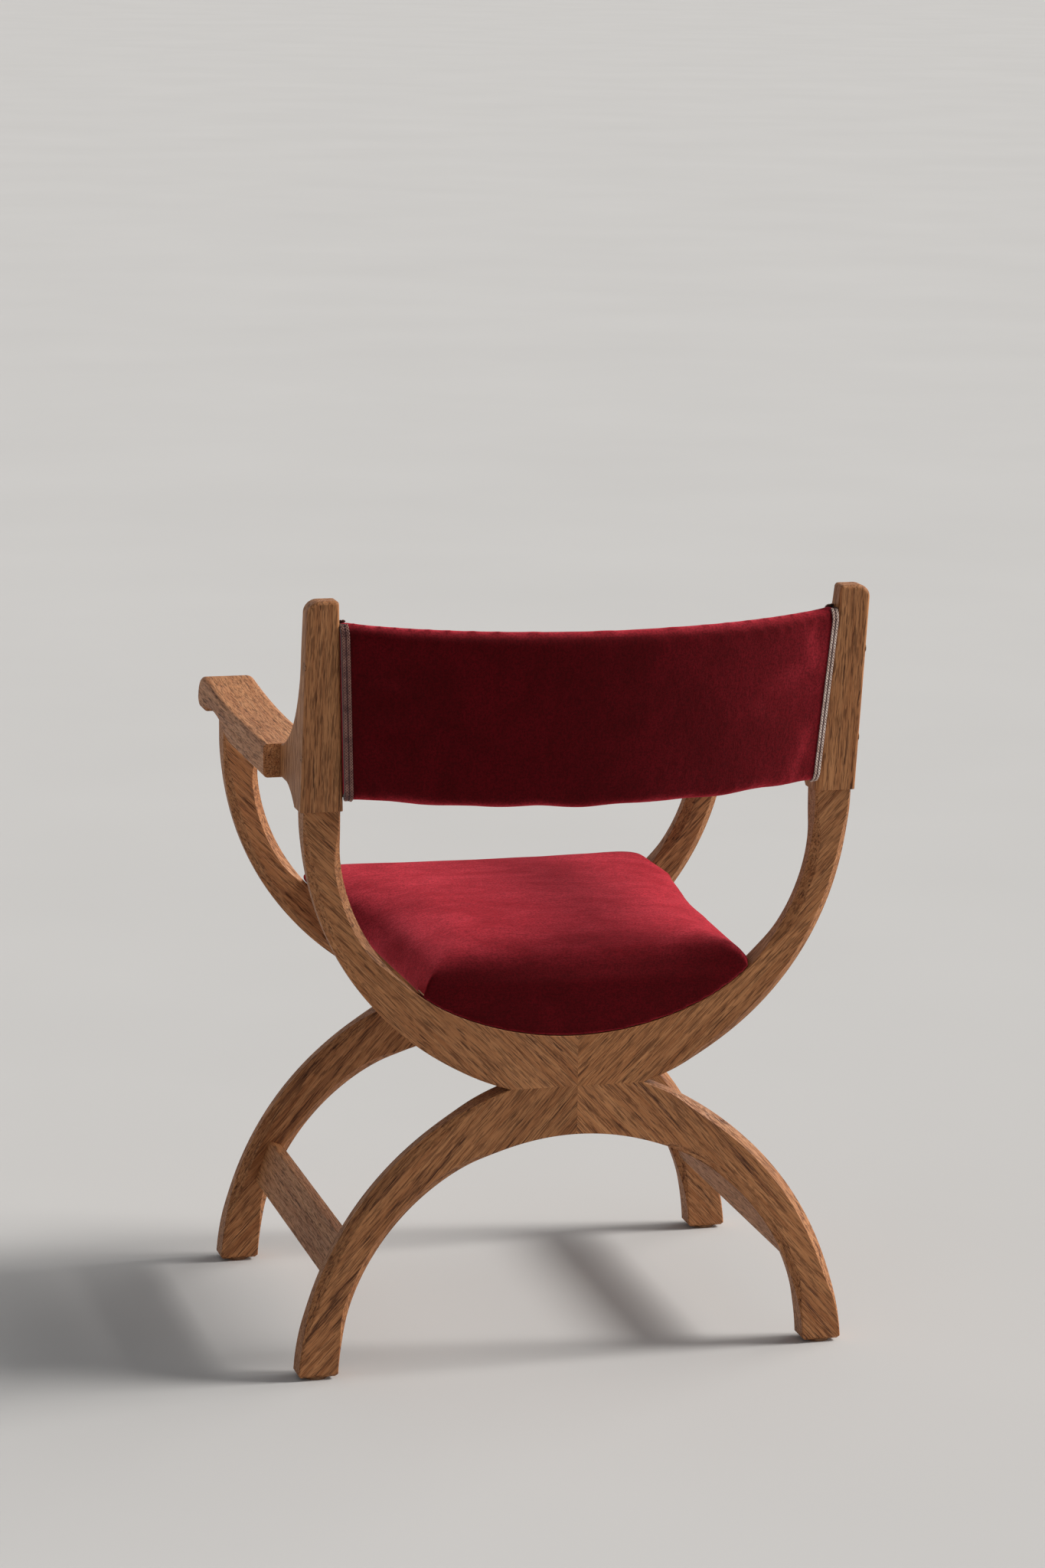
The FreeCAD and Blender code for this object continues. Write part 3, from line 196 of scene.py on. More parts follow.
# Frame boards
# Each of the two frames is four boards of 30 mm oak, sawn to arcs: two rise from the crossing as a U
# and two fall to the feet as an arch. They meet in glued mitres at the middle, with the fibre slanting
# up to the joint from both sides, and their curved edges carry stopped chamfers that run out slowly.
MM = 0.001
CROSSING_HEIGHT, CROSSING_HALF = 310.0, 74.5
EDGE_BEVEL, ARRIS = 9.0, 0.7
CHAMFER_RUN = 22.0
UPPER_BOTTOM = (0.0, 691.7, 326.0)
UPPER_SIDE = (44.2, 592.4, 217.3)
UPPER_OUTER = (-16.2, 614.0, 317.2)
LOWER_INNER = (0.0, -6.0, 262.15)
LOWER_OUTER = (-44.7, -20.1, 351.0)
GLIDE_TOP = 3.0
SCREW_REACH, SCREW_MOUTH = 125.0, 5.0
BOARD_STEPS = 92


def swept(bm, start, legs):
    """A chain of edges in the XZ plane: each leg is a straight run to a place or an arc round a centre."""
    last = bm.verts.new((start[0], 0.0, start[1]))
    edges = []
    for leg in legs:
        if leg[0] == "to":
            span = Vector((leg[1], 0.0, leg[2])) - last.co
            for _ in range(leg[3]):
                grown = bmesh.ops.extrude_vert_indiv(bm, verts=[last])
                last = grown["verts"][0]
                bmesh.ops.translate(bm, verts=[last], vec=span / leg[3])
                edges += grown["edges"]
        else:
            centre, turn, steps = leg[1:]
            before = set(bm.edges)
            spun = bmesh.ops.spin(bm, geom=[last], cent=(centre[0], 0.0, centre[1]), axis=(0.0, -1.0, 0.0),
                                  angle=radians(turn), steps=steps, use_merge=False)
            last = next(piece for piece in spun["geom_last"] if isinstance(piece, bmesh.types.BMVert))
            edges += [edge for edge in bm.edges if edge not in before]
    return edges


def run_out(place, circle, start, stop):
    """How full a chamfer is at a place on a circle, from nothing at its two ends to one between."""
    turn = degrees(atan2(place.z - circle[1], place.x - circle[0]))
    share = min(turn - start, stop - turn) * radians(circle[2]) / CHAMFER_RUN
    share = min(max(share, 0.0), 1.0)
    return share * share * (3 - 2 * share)


def chamfer_share(place, chamfers):
    """The chamfer's share at a place on a board's outline."""
    for circle, start, stop in chamfers:
        if abs(sqrt((place.x - circle[0]) ** 2 + (place.z - circle[1]) ** 2) - circle[2]) < 0.5:
            return run_out(place, circle, start, stop)
    return 0.0


UPPER_CHAMFERS = ((UPPER_SIDE, -41.5, 1.0), (UPPER_OUTER, -66.0, -1.5))
LOWER_CHAMFERS = ((LOWER_INNER, 11.0, 69.0), (LOWER_OUTER, 11.5, 63.5))


def upper_chains(bm, top):
    """The inner and the outer edge of an upper board, from the mitre to its top."""
    bottom_turn = degrees(asin((UPPER_SIDE[0]) / (UPPER_BOTTOM[2] - UPPER_SIDE[2])))
    inner = swept(bm, (0.0, UPPER_BOTTOM[1] - UPPER_BOTTOM[2]), [
        ("round", UPPER_BOTTOM, bottom_turn, 24), ("round", UPPER_SIDE, 90.0 - bottom_turn, BOARD_STEPS - 28),
        ("to", UPPER_SIDE[0] + UPPER_SIDE[2], top, 4)])
    outer_start = degrees(asin((UPPER_OUTER[1] - CROSSING_HEIGHT) / UPPER_OUTER[2]))
    outer = swept(bm, (0.0, CROSSING_HEIGHT), [
        ("to", CROSSING_HALF, CROSSING_HEIGHT, 14), ("round", UPPER_OUTER, outer_start, BOARD_STEPS - 18),
        ("to", UPPER_OUTER[0] + UPPER_OUTER[2], top, 4)])
    return inner, outer


def lower_chains(bm, top):
    """The inner and the outer edge of a lower board, from the mitre to the foot."""
    foot = degrees(asin((GLIDE_TOP - LOWER_INNER[1]) / LOWER_INNER[2]))
    inner = swept(bm, (0.0, LOWER_INNER[1] + LOWER_INNER[2]),
                  [("round", LOWER_INNER, foot - 90.0, BOARD_STEPS)])
    start = degrees(atan2(CROSSING_HEIGHT - LOWER_OUTER[1], CROSSING_HALF - LOWER_OUTER[0]))
    stop = degrees(asin((GLIDE_TOP - LOWER_OUTER[1]) / LOWER_OUTER[2]))
    outer = swept(bm, (0.0, CROSSING_HEIGHT), [
        ("to", CROSSING_HALF, CROSSING_HEIGHT, 14), ("round", LOWER_OUTER, stop - start, BOARD_STEPS - 14)])
    return inner, outer


def finished_object(name, bm, materials, smooth=35.0):
    """An object at the origin with a mesh's normals made good."""
    bmesh.ops.recalc_face_normals(bm, faces=bm.faces)
    mesh = bpy.data.meshes.new(name)
    bm.to_mesh(mesh)
    bm.free()
    for made in materials:
        mesh.materials.append(made)
    mesh.shade_smooth()
    mesh.set_sharp_from_angle(angle=radians(smooth))
    piece = bpy.data.objects.new(name, mesh)
    bpy.context.scene.collection.objects.link(piece)
    return piece


def applied(piece):
    """Gives a piece the mesh that its modifiers make, and takes the modifiers away."""
    bpy.context.view_layer.update()
    whole = bpy.data.meshes.new_from_object(piece.evaluated_get(bpy.context.evaluated_depsgraph_get()))
    piece.modifiers.clear()
    old = piece.data
    piece.data = whole
    bpy.data.meshes.remove(old)
    whole.name = piece.name


def board(name, node, chains, chamfers, side, made, mouth):
    """One board: its two chains bridged, thickened, chamfered by weight and bored for its seat screw."""
    low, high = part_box(node)
    bm = bmesh.new()
    top = high.z / MM
    inner, outer = chains(bm, top)
    bmesh.ops.bridge_loops(bm, edges=inner + outer)
    grown = bmesh.ops.extrude_face_region(bm, geom=bm.faces[:])
    moved = [piece for piece in grown["geom"] if isinstance(piece, bmesh.types.BMVert)]
    bmesh.ops.translate(bm, verts=moved, vec=(0.0, (high.y - low.y) / MM, 0.0))
    weights = bm.edges.layers.float.new("bevel_weight_edge")
    for edge in bm.edges:
        first, second = (vert.co for vert in edge.verts)
        if abs(first.y - second.y) < 0.1:
            angle = edge.calc_face_angle(0.0)
            if angle > 1.0:
                ends_here = max(first.x, second.x) < 0.1 or abs(first.z - second.z) < 0.01 and (
                    abs(first.z - CROSSING_HEIGHT) < 0.1 or abs(first.z - top) < 0.1)
                share = (chamfer_share(first, chamfers) + chamfer_share(second, chamfers)) / 2
                edge[weights] = 0.0 if ends_here else max(share, ARRIS / EDGE_BEVEL)
        if chains is lower_chains and max(first.z, second.z) < GLIDE_TOP + 0.1:
            edge[weights] = 3.0 / EDGE_BEVEL
    bmesh.ops.scale(bm, verts=bm.verts, vec=(side * MM, MM, MM))
    bmesh.ops.translate(bm, verts=bm.verts, vec=(0.0, low.y, 0.0))
    piece = finished_object(name, bm, [made])
    bevel = piece.modifiers.new("chamfers", "BEVEL")
    bevel.limit_method = "WEIGHT"
    bevel.width = EDGE_BEVEL * MM
    bevel.segments = 1
    bevel.profile = 0.5
    if mouth:
        cutter = bmesh.new()
        bmesh.ops.create_cone(cutter, cap_ends=True, segments=32,
                              radius1=SCREW_MOUTH * MM, radius2=SCREW_MOUTH * MM,
                              depth=2 * (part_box("seat_screws")[0].z - CROSSING_HEIGHT * MM))
        bmesh.ops.translate(cutter, verts=cutter.verts,
                            vec=(side * SCREW_REACH * MM, (low.y + high.y) / 2, CROSSING_HEIGHT * MM))
        tool = finished_object(name + "_bore", cutter, [])
        bore = piece.modifiers.new("bore", "BOOLEAN")
        bore.object = tool
        bore.operation = "DIFFERENCE"
        applied(piece)
        bpy.data.objects.remove(tool)
    else:
        applied(piece)
    piece.data.shade_smooth()
    piece.data.set_sharp_from_angle(angle=radians(24))
    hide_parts(node)
    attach(piece, "root")
    return piece


BOARDS = {
    "upper": (upper_chains, UPPER_CHAMFERS, 45.0, 0.190, (0.080, 0.075), 0.20),
    "lower": (lower_chains, LOWER_CHAMFERS, -48.0, 0.240, (-0.058, 0.030), 0.62),
}
number = 0
for where in ("rear", "front"):
    for part, (chains, chamfers, slant, across, heart, rings) in BOARDS.items():
        for hand, side in (("left", 1), ("right", -1)):
            node = f"{where}_{part}_{hand}_arc"
            depth = sum(corner.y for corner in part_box(node)) / 2
            pith = (0.0, depth + heart[0], side * (across + heart[1]) + 0.004 * number)
            made = oak(f"oak_{where}_{part}_{hand}", (0.0, slant if side > 0 else 180.0 - slant, 0.0), pith,
                       0.31 * number, rings, 1.0 - 0.03 * (number % 3))
            board(f"{where}_{part}_{hand}_board", node, chains, chamfers, side, made, part == "upper")
            number += 1


# Posts, arms and stretchers
# The back posts stand on the rear boards and lean back; each has an ear that runs forward into a
# scrolled armrest. Thin stretchers tie the frames low down. All are solid oak, fibre along the piece.
POST_FIBRE, RUN_FIBRE = (8.5, 90.0, 0.0), (0.0, 0.0, -90.0)


def refinish(node, made):
    """Gives a CAD node's own mesh another material."""
    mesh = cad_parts[node].data
    mesh.materials.clear()
    mesh.materials.append(made)


for hand, side, shift in (("left", 1, 0.0), ("right", -1, 0.9)):
    refinish(f"{hand}_back_post",
             oak(f"oak_{hand}_post", POST_FIBRE, (0.0, 0.02, -side * 0.36), shift, 0.16, 0.96))
    refinish(f"{hand}_armrest",
             oak(f"oak_{hand}_arm", RUN_FIBRE, (0.0, side * 0.24, 0.60), shift + 0.3))
    refinish(f"{hand}_stretcher",
             oak(f"oak_{hand}_stretcher", RUN_FIBRE, (0.0, side * 0.30, 0.02), shift + 1.7, 0.2, 0.96))
refinish("back_screw_plugs", oak("oak_plugs", (0.0, 0.0, 0.0), (0.0, 0.0, 0.7), 0.4, 0.2, 0.72))


# Dowels, screws and glides
# Turned beech dowels pin the joints, zinc plated screws hold the seat and the back, and each foot
# stands on a nailed amber nylon glide.
def plain_wood(name, pale, dark, fibre, across):
    """A close-grained wood with faint fibre lines."""
    made, tree, shader = new_material(name)
    place = add(tree, "ShaderNodeTexCoord").outputs["Object"]
    turned = add(tree, "ShaderNodeMapping", {"Vector": place, "Rotation": [radians(turn) for turn in fibre]})
    lines = noise(tree, turned.outputs[0], across, 4.0, 0.6).outputs["Fac"]
    color = blended(tree, spread(tree, lines, 0.3, 0.7), dark, pale)
    dress(tree, shader, color, spread(tree, lines, 0.2, 0.8, 0.7, 0.55), lines, 0.0002)
    return made


BEECH_PALE, BEECH_DARK = (0.66, 0.46, 0.28, 1), (0.50, 0.31, 0.17, 1)
PINE_PALE, PINE_DARK = (0.74, 0.55, 0.32, 1), (0.58, 0.36, 0.17, 1)
WIDTH_FIBRE, PINE_LINES = (0.0, 0.0, 0.0), (8.0, 160.0, 160.0)
beech = plain_wood("turned_beech", BEECH_PALE, BEECH_DARK, WIDTH_FIBRE, (60.0, 700.0, 700.0))
for node in ("crossing_dowels", "mitre_dowels", "post_dowels", "armrest_dowels", "stretcher_dowels"):
    refinish(node, beech)
pine = plain_wood("sawn_pine", PINE_PALE, PINE_DARK, WIDTH_FIBRE, PINE_LINES)
for node in ("seat_rear_rail", "seat_front_rail"):
    refinish(node, pine)
side_pine = plain_wood("sawn_pine_side", PINE_PALE, PINE_DARK, RUN_FIBRE, PINE_LINES)
for node in ("left_seat_side_rail", "right_seat_side_rail"):
    refinish(node, side_pine)

made, tree, shader = new_material("zinc_screws")
place = add(tree, "ShaderNodeTexCoord").outputs["Object"]
dull = noise(tree, place, (420.0, 420.0, 420.0), 4.0).outputs["Fac"]
dress(tree, shader, blended(tree, dull, (0.62, 0.60, 0.52, 1), (0.42, 0.42, 0.40, 1)),
      spread(tree, dull, 0.3, 0.7, 0.28, 0.5), dull, 0.0001)
shader.inputs["Metallic"].default_value = 1.0
for node in ("seat_screws", "back_screws"):
    refinish(node, made)

made, tree, shader = new_material("amber_nylon")
place = add(tree, "ShaderNodeTexCoord").outputs["Object"]
scuff = noise(tree, place, (260.0, 260.0, 260.0), 5.0, 0.65).outputs["Fac"]
color = blended(tree, spread(tree, scuff, 0.35, 0.75), (0.16, 0.060, 0.018, 1), (0.30, 0.145, 0.055, 1))
dress(tree, shader, color, spread(tree, scuff, 0.3, 0.7, 0.32, 0.6), scuff, 0.0002)
refinish("foot_glides", made)

made, tree, shader = new_material("birch_plywood")
place = add(tree, "ShaderNodeTexCoord").outputs["Object"]
faces = noise(tree, place, (9.0, 120.0, 120.0), 4.0, 0.6).outputs["Fac"]
plies = add(tree, "ShaderNodeTexWave", {"Vector": place, "Scale": 210.0, "Distortion": 0.4},
            bands_direction="Z", wave_profile="SAW").outputs["Fac"]
color = blended(tree, spread(tree, faces, 0.3, 0.7), (0.58, 0.40, 0.22, 1), (0.74, 0.57, 0.36, 1))
glue = math(tree, "MULTIPLY", spread(tree, plies, 0.45, 0.55), 0.25)
color = blended(tree, glue, color, (0.36, 0.20, 0.09, 1))
dress(tree, shader, color, 0.7, faces, 0.0002)
for node in ("seat_board", "back_core"):
    refinish(node, made)


# Foam and dust cloth
# A cut polyether foam pad lies on the seat board and another is wrapped round the back's core; thin
# black cambric closes the seat from below.
open_foam, tree, shader = new_material("open_foam")
place = add(tree, "ShaderNodeTexCoord").outputs["Object"]
cells = add(tree, "ShaderNodeTexVoronoi", {"Vector": place, "Scale": 900.0}).outputs["Distance"]
aged = noise(tree, place, (14.0, 14.0, 14.0), 3.0).outputs["Fac"]
color = blended(tree, spread(tree, aged, 0.3, 0.7), (0.78, 0.70, 0.44, 1), (0.66, 0.52, 0.26, 1))
color = blended(tree, spread(tree, cells, 0.5, 0.1), color, (0.42, 0.32, 0.15, 1))
dress(tree, shader, color, 0.95, cells, 0.0006)

made, tree, shader = new_material("black_cambric")
place = add(tree, "ShaderNodeTexCoord").outputs["Object"]
warp = add(tree, "ShaderNodeTexWave", {"Vector": place, "Scale": 420.0}, bands_direction="X").outputs["Fac"]
weft = add(tree, "ShaderNodeTexWave", {"Vector": place, "Scale": 420.0}, bands_direction="Y").outputs["Fac"]
weave = math(tree, "MAXIMUM", warp, weft)
lint = noise(tree, place, (70.0, 70.0, 70.0), 5.0, 0.7).outputs["Fac"]
color = blended(tree, spread(tree, lint, 0.45, 0.8), (0.022, 0.022, 0.024, 1), (0.075, 0.072, 0.070, 1))
dress(tree, shader, color, 0.92, weave, 0.0003)
refinish("seat_dust_cloth", made)


# Velvet
# Crimson cotton velvet with a short pile, mottled where hands have laid the nap over. Its base colour
# is painted by viewing angle: deep and almost black where it is seen straight on, and pink where it is seen
# at grazing angles, as a painted sheen on top of the shader's own sheen.
VELVET_DEEP = (0.028, 0.0003, 0.0010, 1)
# Seen straight on the velvet is painted almost black; seen at grazing angles it is painted pink, as a painted
# sheen.
VELVET_FACING = (0.075, 0.0007, 0.0024, 1), (0.120, 0.0016, 0.0050, 1)
VELVET_PAINTED_SHEEN = (0.430, 0.0110, 0.0220, 1), (0.740, 0.0480, 0.0740, 1)


def velvet(name, along):
    """Velvet with its nap laid along an axis, given as a turn in degrees about each axis."""
    made, tree, shader = new_material(name)
    place = add(tree, "ShaderNodeTexCoord").outputs["Object"]
    turned = add(tree, "ShaderNodeMapping",
                 {"Vector": place, "Rotation": [radians(turn) for turn in along]}).outputs[0]
    nap = noise(tree, turned, (9.0, 14.0, 14.0), 5.0, 0.62, 0.9).outputs["Fac"]
    strokes = noise(tree, turned, (70.0, 130.0, 130.0), 4.0, 0.65, 0.5).outputs["Fac"]
    wale = noise(tree, turned, (60.0, 900.0, 900.0), 2.0, 0.5).outputs["Fac"]
    tuft = noise(tree, place, (430.0, 430.0, 430.0), 3.0, 0.65).outputs["Fac"]
    pile = noise(tree, place, (1700.0, 1700.0, 1700.0), 2.0, 0.6).outputs["Fac"]
    laid = math(tree, "ADD", math(tree, "MULTIPLY", spread(tree, nap, 0.34, 0.66), 0.68),
                math(tree, "MULTIPLY", spread(tree, strokes, 0.3, 0.7), 0.32))
    # Painted sheen: the base colour is mixed from the dark straight-on colour to the pink painted sheen as
    # the surface is seen more edge-on.
    slant = add(tree, "ShaderNodeLayerWeight", {"Blend": 0.5}).outputs["Facing"]
    color = blended(tree, spread(tree, slant, 0.05, 0.85), blended(tree, laid, *VELVET_FACING),
                    blended(tree, laid, *VELVET_PAINTED_SHEEN))
    color = blended(tree, math(tree, "MULTIPLY", spread(tree, wale, 0.60, 0.35), 0.20), color, VELVET_DEEP)
    color = blended(tree, math(tree, "MULTIPLY", spread(tree, tuft, 0.56, 0.40), 0.46), color, VELVET_DEEP)
    color = blended(tree, math(tree, "MULTIPLY", spread(tree, pile, 0.55, 0.3), 0.30), color, VELVET_DEEP)
    relief = math(tree, "ADD", math(tree, "MULTIPLY", pile, 0.45), math(tree, "MULTIPLY", strokes, 1.0))
    dress(tree, shader, color, 0.92, relief, 0.0012, 0.55)
    shader.inputs["Specular IOR Level"].default_value = 0.10
    shader.inputs["Sheen Weight"].default_value = 0.40
    shader.inputs["Sheen Roughness"].default_value = 0.40
    shader.inputs["Sheen Tint"].default_value = (1.0, 0.15, 0.21, 1)
    return made


# Seat
# The seat is a pad of its own: foam on a board and rails shaped to the U of the frames, with velvet
# drawn over it, rolled over the front and rear edges and turned in underneath round the dust cloth.
SEAT_VOXEL, SEAT_SLACK, SEAT_SWELL, SEAT_SINK = 0.0065, 0.0015, 0.003, 0.001
SEAT_HELD, SEAT_LET_GO, SEAT_FREE, SEAT_CLEAR = 0.004, 0.012, 0.022, 0.0004
CLOTH_THICK, FOAM_INSET = 0.0015, 0.0021
SIM_FRAMES = 20


def u_depth(place):
    """How far inside the frames' U a place lies, in metres."""
    x, z = abs(place.x) / MM, place.z / MM
    if z > UPPER_SIDE[1]:
        return (UPPER_SIDE[0] + UPPER_SIDE[2] - x) * MM
    bottom = sqrt((x - UPPER_BOTTOM[0]) ** 2 + (z - UPPER_BOTTOM[1]) ** 2)
    flank = sqrt((x - UPPER_SIDE[0]) ** 2 + (z - UPPER_SIDE[1]) ** 2)
    fall, rise = UPPER_BOTTOM[1] - z, UPPER_BOTTOM[1] - UPPER_SIDE[1]
    on_bottom = fall * UPPER_SIDE[0] > (x - UPPER_BOTTOM[0]) * rise
    return ((UPPER_BOTTOM[2] - bottom) if on_bottom else (UPPER_SIDE[2] - flank)) * MM


def ramp(value, low, high):
    """A value's share of the way from one number to another, with soft ends."""
    share = min(max((value - low) / (high - low), 0.0), 1.0)
    return share * share * (3 - 2 * share)


def remeshed(piece, voxel):
    """A piece's surface laid out again in even quads."""
    again = piece.modifiers.new("even", "REMESH")
    again.mode = "VOXEL"
    again.voxel_size = voxel
    again.adaptivity = 0.0
    applied(piece)


def subdivided(piece):
    """A piece with one smooth subdivision."""
    finer = piece.modifiers.new("finer", "SUBSURF")
    finer.levels = finer.render_levels = 1
    applied(piece)


def blown(piece, held, pressure, slack, swell, sink):
    """Slackens a form, blows it up as cloth held in places, and limits how far it moves out or in."""
    form = [(vert.co.copy(), vert.normal.copy(), held(vert.co)) for vert in piece.data.vertices]
    pins = piece.vertex_groups.new(name="held")
    for vert, (place, normal, share) in zip(piece.data.vertices, form):
        vert.co = place - normal * slack * (1 - share)
        pins.add([vert.index], share, "REPLACE")
    cloth = piece.modifiers.new("cloth", "CLOTH")
    cloth.settings.use_pressure = True
    cloth.settings.uniform_pressure_force = pressure
    cloth.settings.vertex_group_mass = "held"
    cloth.settings.pin_stiffness = 1.0
    cloth.settings.shrink_min = -0.012
    cloth.settings.tension_stiffness = 15.0
    cloth.settings.compression_stiffness = 15.0
    cloth.settings.bending_stiffness = 6.0
    cloth.settings.effector_weights.gravity = 0.0
    cloth.point_cache.frame_start, cloth.point_cache.frame_end = 1, SIM_FRAMES
    for number in range(1, SIM_FRAMES + 1):
        bpy.context.scene.frame_set(number)
    applied(piece)
    bpy.context.scene.frame_set(1)
    piece.vertex_groups.clear()
    for vert, (place, normal, share) in zip(piece.data.vertices, form):
        move = vert.co - place
        out = move.dot(normal)
        along = move - normal * out
        if along.length > swell:
            along *= swell / along.length
        vert.co = place + (normal * min(max(out, -sink), swell) + along) * (1 - share)


def worked(piece, change):
    """Changes a piece's mesh with bmesh."""
    bm = bmesh.new()
    bm.from_mesh(piece.data)
    change(bm)
    bm.to_mesh(piece.data)
    bm.free()


def smoothed(bm, verts, times):
    """Smooths some points a number of times."""
    for _ in range(times):
        bmesh.ops.smooth_vert(bm, verts=verts, factor=0.5, use_axis_x=True, use_axis_y=True, use_axis_z=True)


def hull_of(node):
    """The convex outer form of a CAD node."""
    bm = bmesh.new()
    bm.from_mesh(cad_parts[node].data)
    bmesh.ops.remove_doubles(bm, verts=bm.verts, dist=1e-6)
    hull = bmesh.ops.convex_hull(bm, input=bm.verts[:])
    kept = {piece for piece in hull["geom"] if isinstance(piece, bmesh.types.BMFace)}
    bmesh.ops.delete(bm, geom=[face for face in bm.faces if face not in kept], context="FACES")
    return bm


seat_velvet = velvet("seat_velvet", (0.0, 0.0, 0.0))
seat_low, seat_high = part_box("seat_cover")
SEAT_PITCH, SEAT_CROWN, SEAT_WIDE = 0.008, 0.002, 0.188
REAR_ROLL, REAR_CORNER = (0.130, 0.028), (0.020, 0.018)
FRONT_ROLL, FRONT_CORNER = (0.038, 0.027), (0.012, 0.010)
SHOULDER_HIGH, SHOULDER_FALL = 0.454, {1: 0.038, -1: 0.018}
SIDE_ROLL_FRONT, SIDE_ROLL_REAR = 0.012, {1: 0.044, -1: 0.030}
SIDE_SWELL = {1: 0.007, -1: 0.005}
SWELL_FOOT, SWELL_HIGH, SWELL_WIDE = 0.395, 0.438, 0.050
SWELL_FRONT, SWELL_REAR = 0.080, 0.180
BOARD_COVER, FACE_PROUD = 0.0020, 0.0002
FRONT_BOARD, REAR_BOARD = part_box("front_upper_left_arc")[1].y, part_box("rear_upper_left_arc")[0].y


def u_half(height):
    """Half the width between the flanks of the frames' U at a height in metres."""
    return (UPPER_SIDE[0] + sqrt(UPPER_SIDE[2] ** 2 - (UPPER_SIDE[1] - height / MM) ** 2)) * MM


def roll_over(place):
    """Brings a place on the seat's form in where the soft rolls of its edges are."""
    depth = (seat_high.y - place.y) / (seat_high.y - seat_low.y)
    across = min(abs(place.x) / SEAT_WIDE, 1.0)
    top = seat_high.z - SEAT_PITCH * (1 - depth) - SEAT_CROWN * across ** 2
    side = 1 if place.x > 0 else -1
    rearward = ramp(1 - depth, 0.0, 0.55)
    shoulder = SHOULDER_HIGH - SHOULDER_FALL[side] * rearward
    long = SIDE_ROLL_FRONT + (SIDE_ROLL_REAR[side] - SIDE_ROLL_FRONT) * rearward
    tall = top - shoulder
    back, down = long - u_half(shoulder) + SEAT_CLEAR + abs(place.x), place.z - shoulder
    reach = sqrt((back / long) ** 2 + (down / tall) ** 2)
    if back > 0 and down > 0 and reach > 1:
        place.x *= 1 - back * (1 - 1 / reach) / abs(place.x)
        place.z -= down * (1 - 1 / reach)
    for roll, end, gap, way in ((REAR_ROLL, REAR_CORNER, seat_high.y - place.y, -1),
                                (FRONT_ROLL, FRONT_CORNER, place.y - seat_low.y, 1)):
        long, tall = (corner + (middle - corner) * (1 - across ** 2) for middle, corner in zip(roll, end))
        back, down = long - gap, tall - (top - place.z)
        reach = sqrt((back / long) ** 2 + (down / tall) ** 2)
        if back > 0 and down > 0 and reach > 1:
            place.y += way * back * (1 - 1 / reach)
            place.z -= down * (1 - 1 / reach)


def squared(bm):
    """Brings the pad out to the frames' U and to crisp edges there."""
    for vert in bm.verts:
        depth = u_depth(vert.co)
        if depth < 0.6 * SEAT_VOXEL and vert.co.z < seat_high.z - SEAT_FREE:
            centre = Vector((0.0, vert.co.y, UPPER_BOTTOM[1] * MM))
            vert.co += (vert.co - centre).normalized() * (depth - SEAT_CLEAR)
            for face in (seat_low.y, seat_high.y):
                if abs(vert.co.y - face) < 0.6 * SEAT_VOXEL:
                    vert.co.y = face


seat = finished_object("velvet_seat", hull_of("seat_cover"), [seat_velvet], 180)
remeshed(seat, SEAT_VOXEL)
worked(seat, squared)
for vert in seat.data.vertices:
    roll_over(vert.co)
blown(seat, lambda place: 1 - ramp(u_depth(place), SEAT_HELD, SEAT_LET_GO), 4.0,
      SEAT_SLACK, SEAT_SWELL, SEAT_SINK)


def settle_seat(bm):
    """Smooths the pad, lets its flanks swell out between the frames and covers the board's ends."""
    smoothed(bm, [vert for vert in bm.verts if u_depth(vert.co) > SEAT_HELD], 10)
    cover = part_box("seat_board")[1].z + BOARD_COVER
    for vert in bm.verts:
        side = 1 if vert.co.x > 0 else -1
        between = ramp(vert.co.y - FRONT_BOARD, 0.0, SWELL_FRONT)
        between *= ramp(REAR_BOARD - vert.co.y, 0.0, SWELL_REAR)
        edge = ramp(vert.co.z, SWELL_FOOT, SWELL_HIGH) * (1 - ramp(u_depth(vert.co), 0.0, SWELL_WIDE))
        vert.co.x += side * SIDE_SWELL[side] * between * edge
        if vert.normal.y > 0.5 and vert.co.z < cover:
            vert.co.y = max(vert.co.y, seat_high.y - FACE_PROUD)
        if vert.normal.y < -0.5 and vert.co.z < cover:
            vert.co.y = min(vert.co.y, seat_low.y + FACE_PROUD)


worked(seat, settle_seat)


def inset(bm):
    """Draws a closed form in by the cloth's thickness and a little more."""
    bm.normal_update()
    for vert, normal in [(vert, vert.normal.copy()) for vert in bm.verts]:
        vert.co -= normal * FOAM_INSET


core = seat.copy()
core.data = seat.data.copy()
bpy.context.scene.collection.objects.link(core)
worked(core, inset)
bm = bmesh.new()
bm.from_mesh(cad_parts["seat_foam"].data)
bmesh.ops.remove_doubles(bm, verts=bm.verts, dist=1e-6)
pad = finished_object("seat_pad", bm, [open_foam], 40)
trim = pad.modifiers.new("trim", "BOOLEAN")
trim.object = core
trim.operation = "INTERSECT"
applied(pad)
bpy.data.objects.remove(core)
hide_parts("seat_foam")
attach(pad, "root")

OPENING_HALF, OPENING_END = 0.092, 0.030


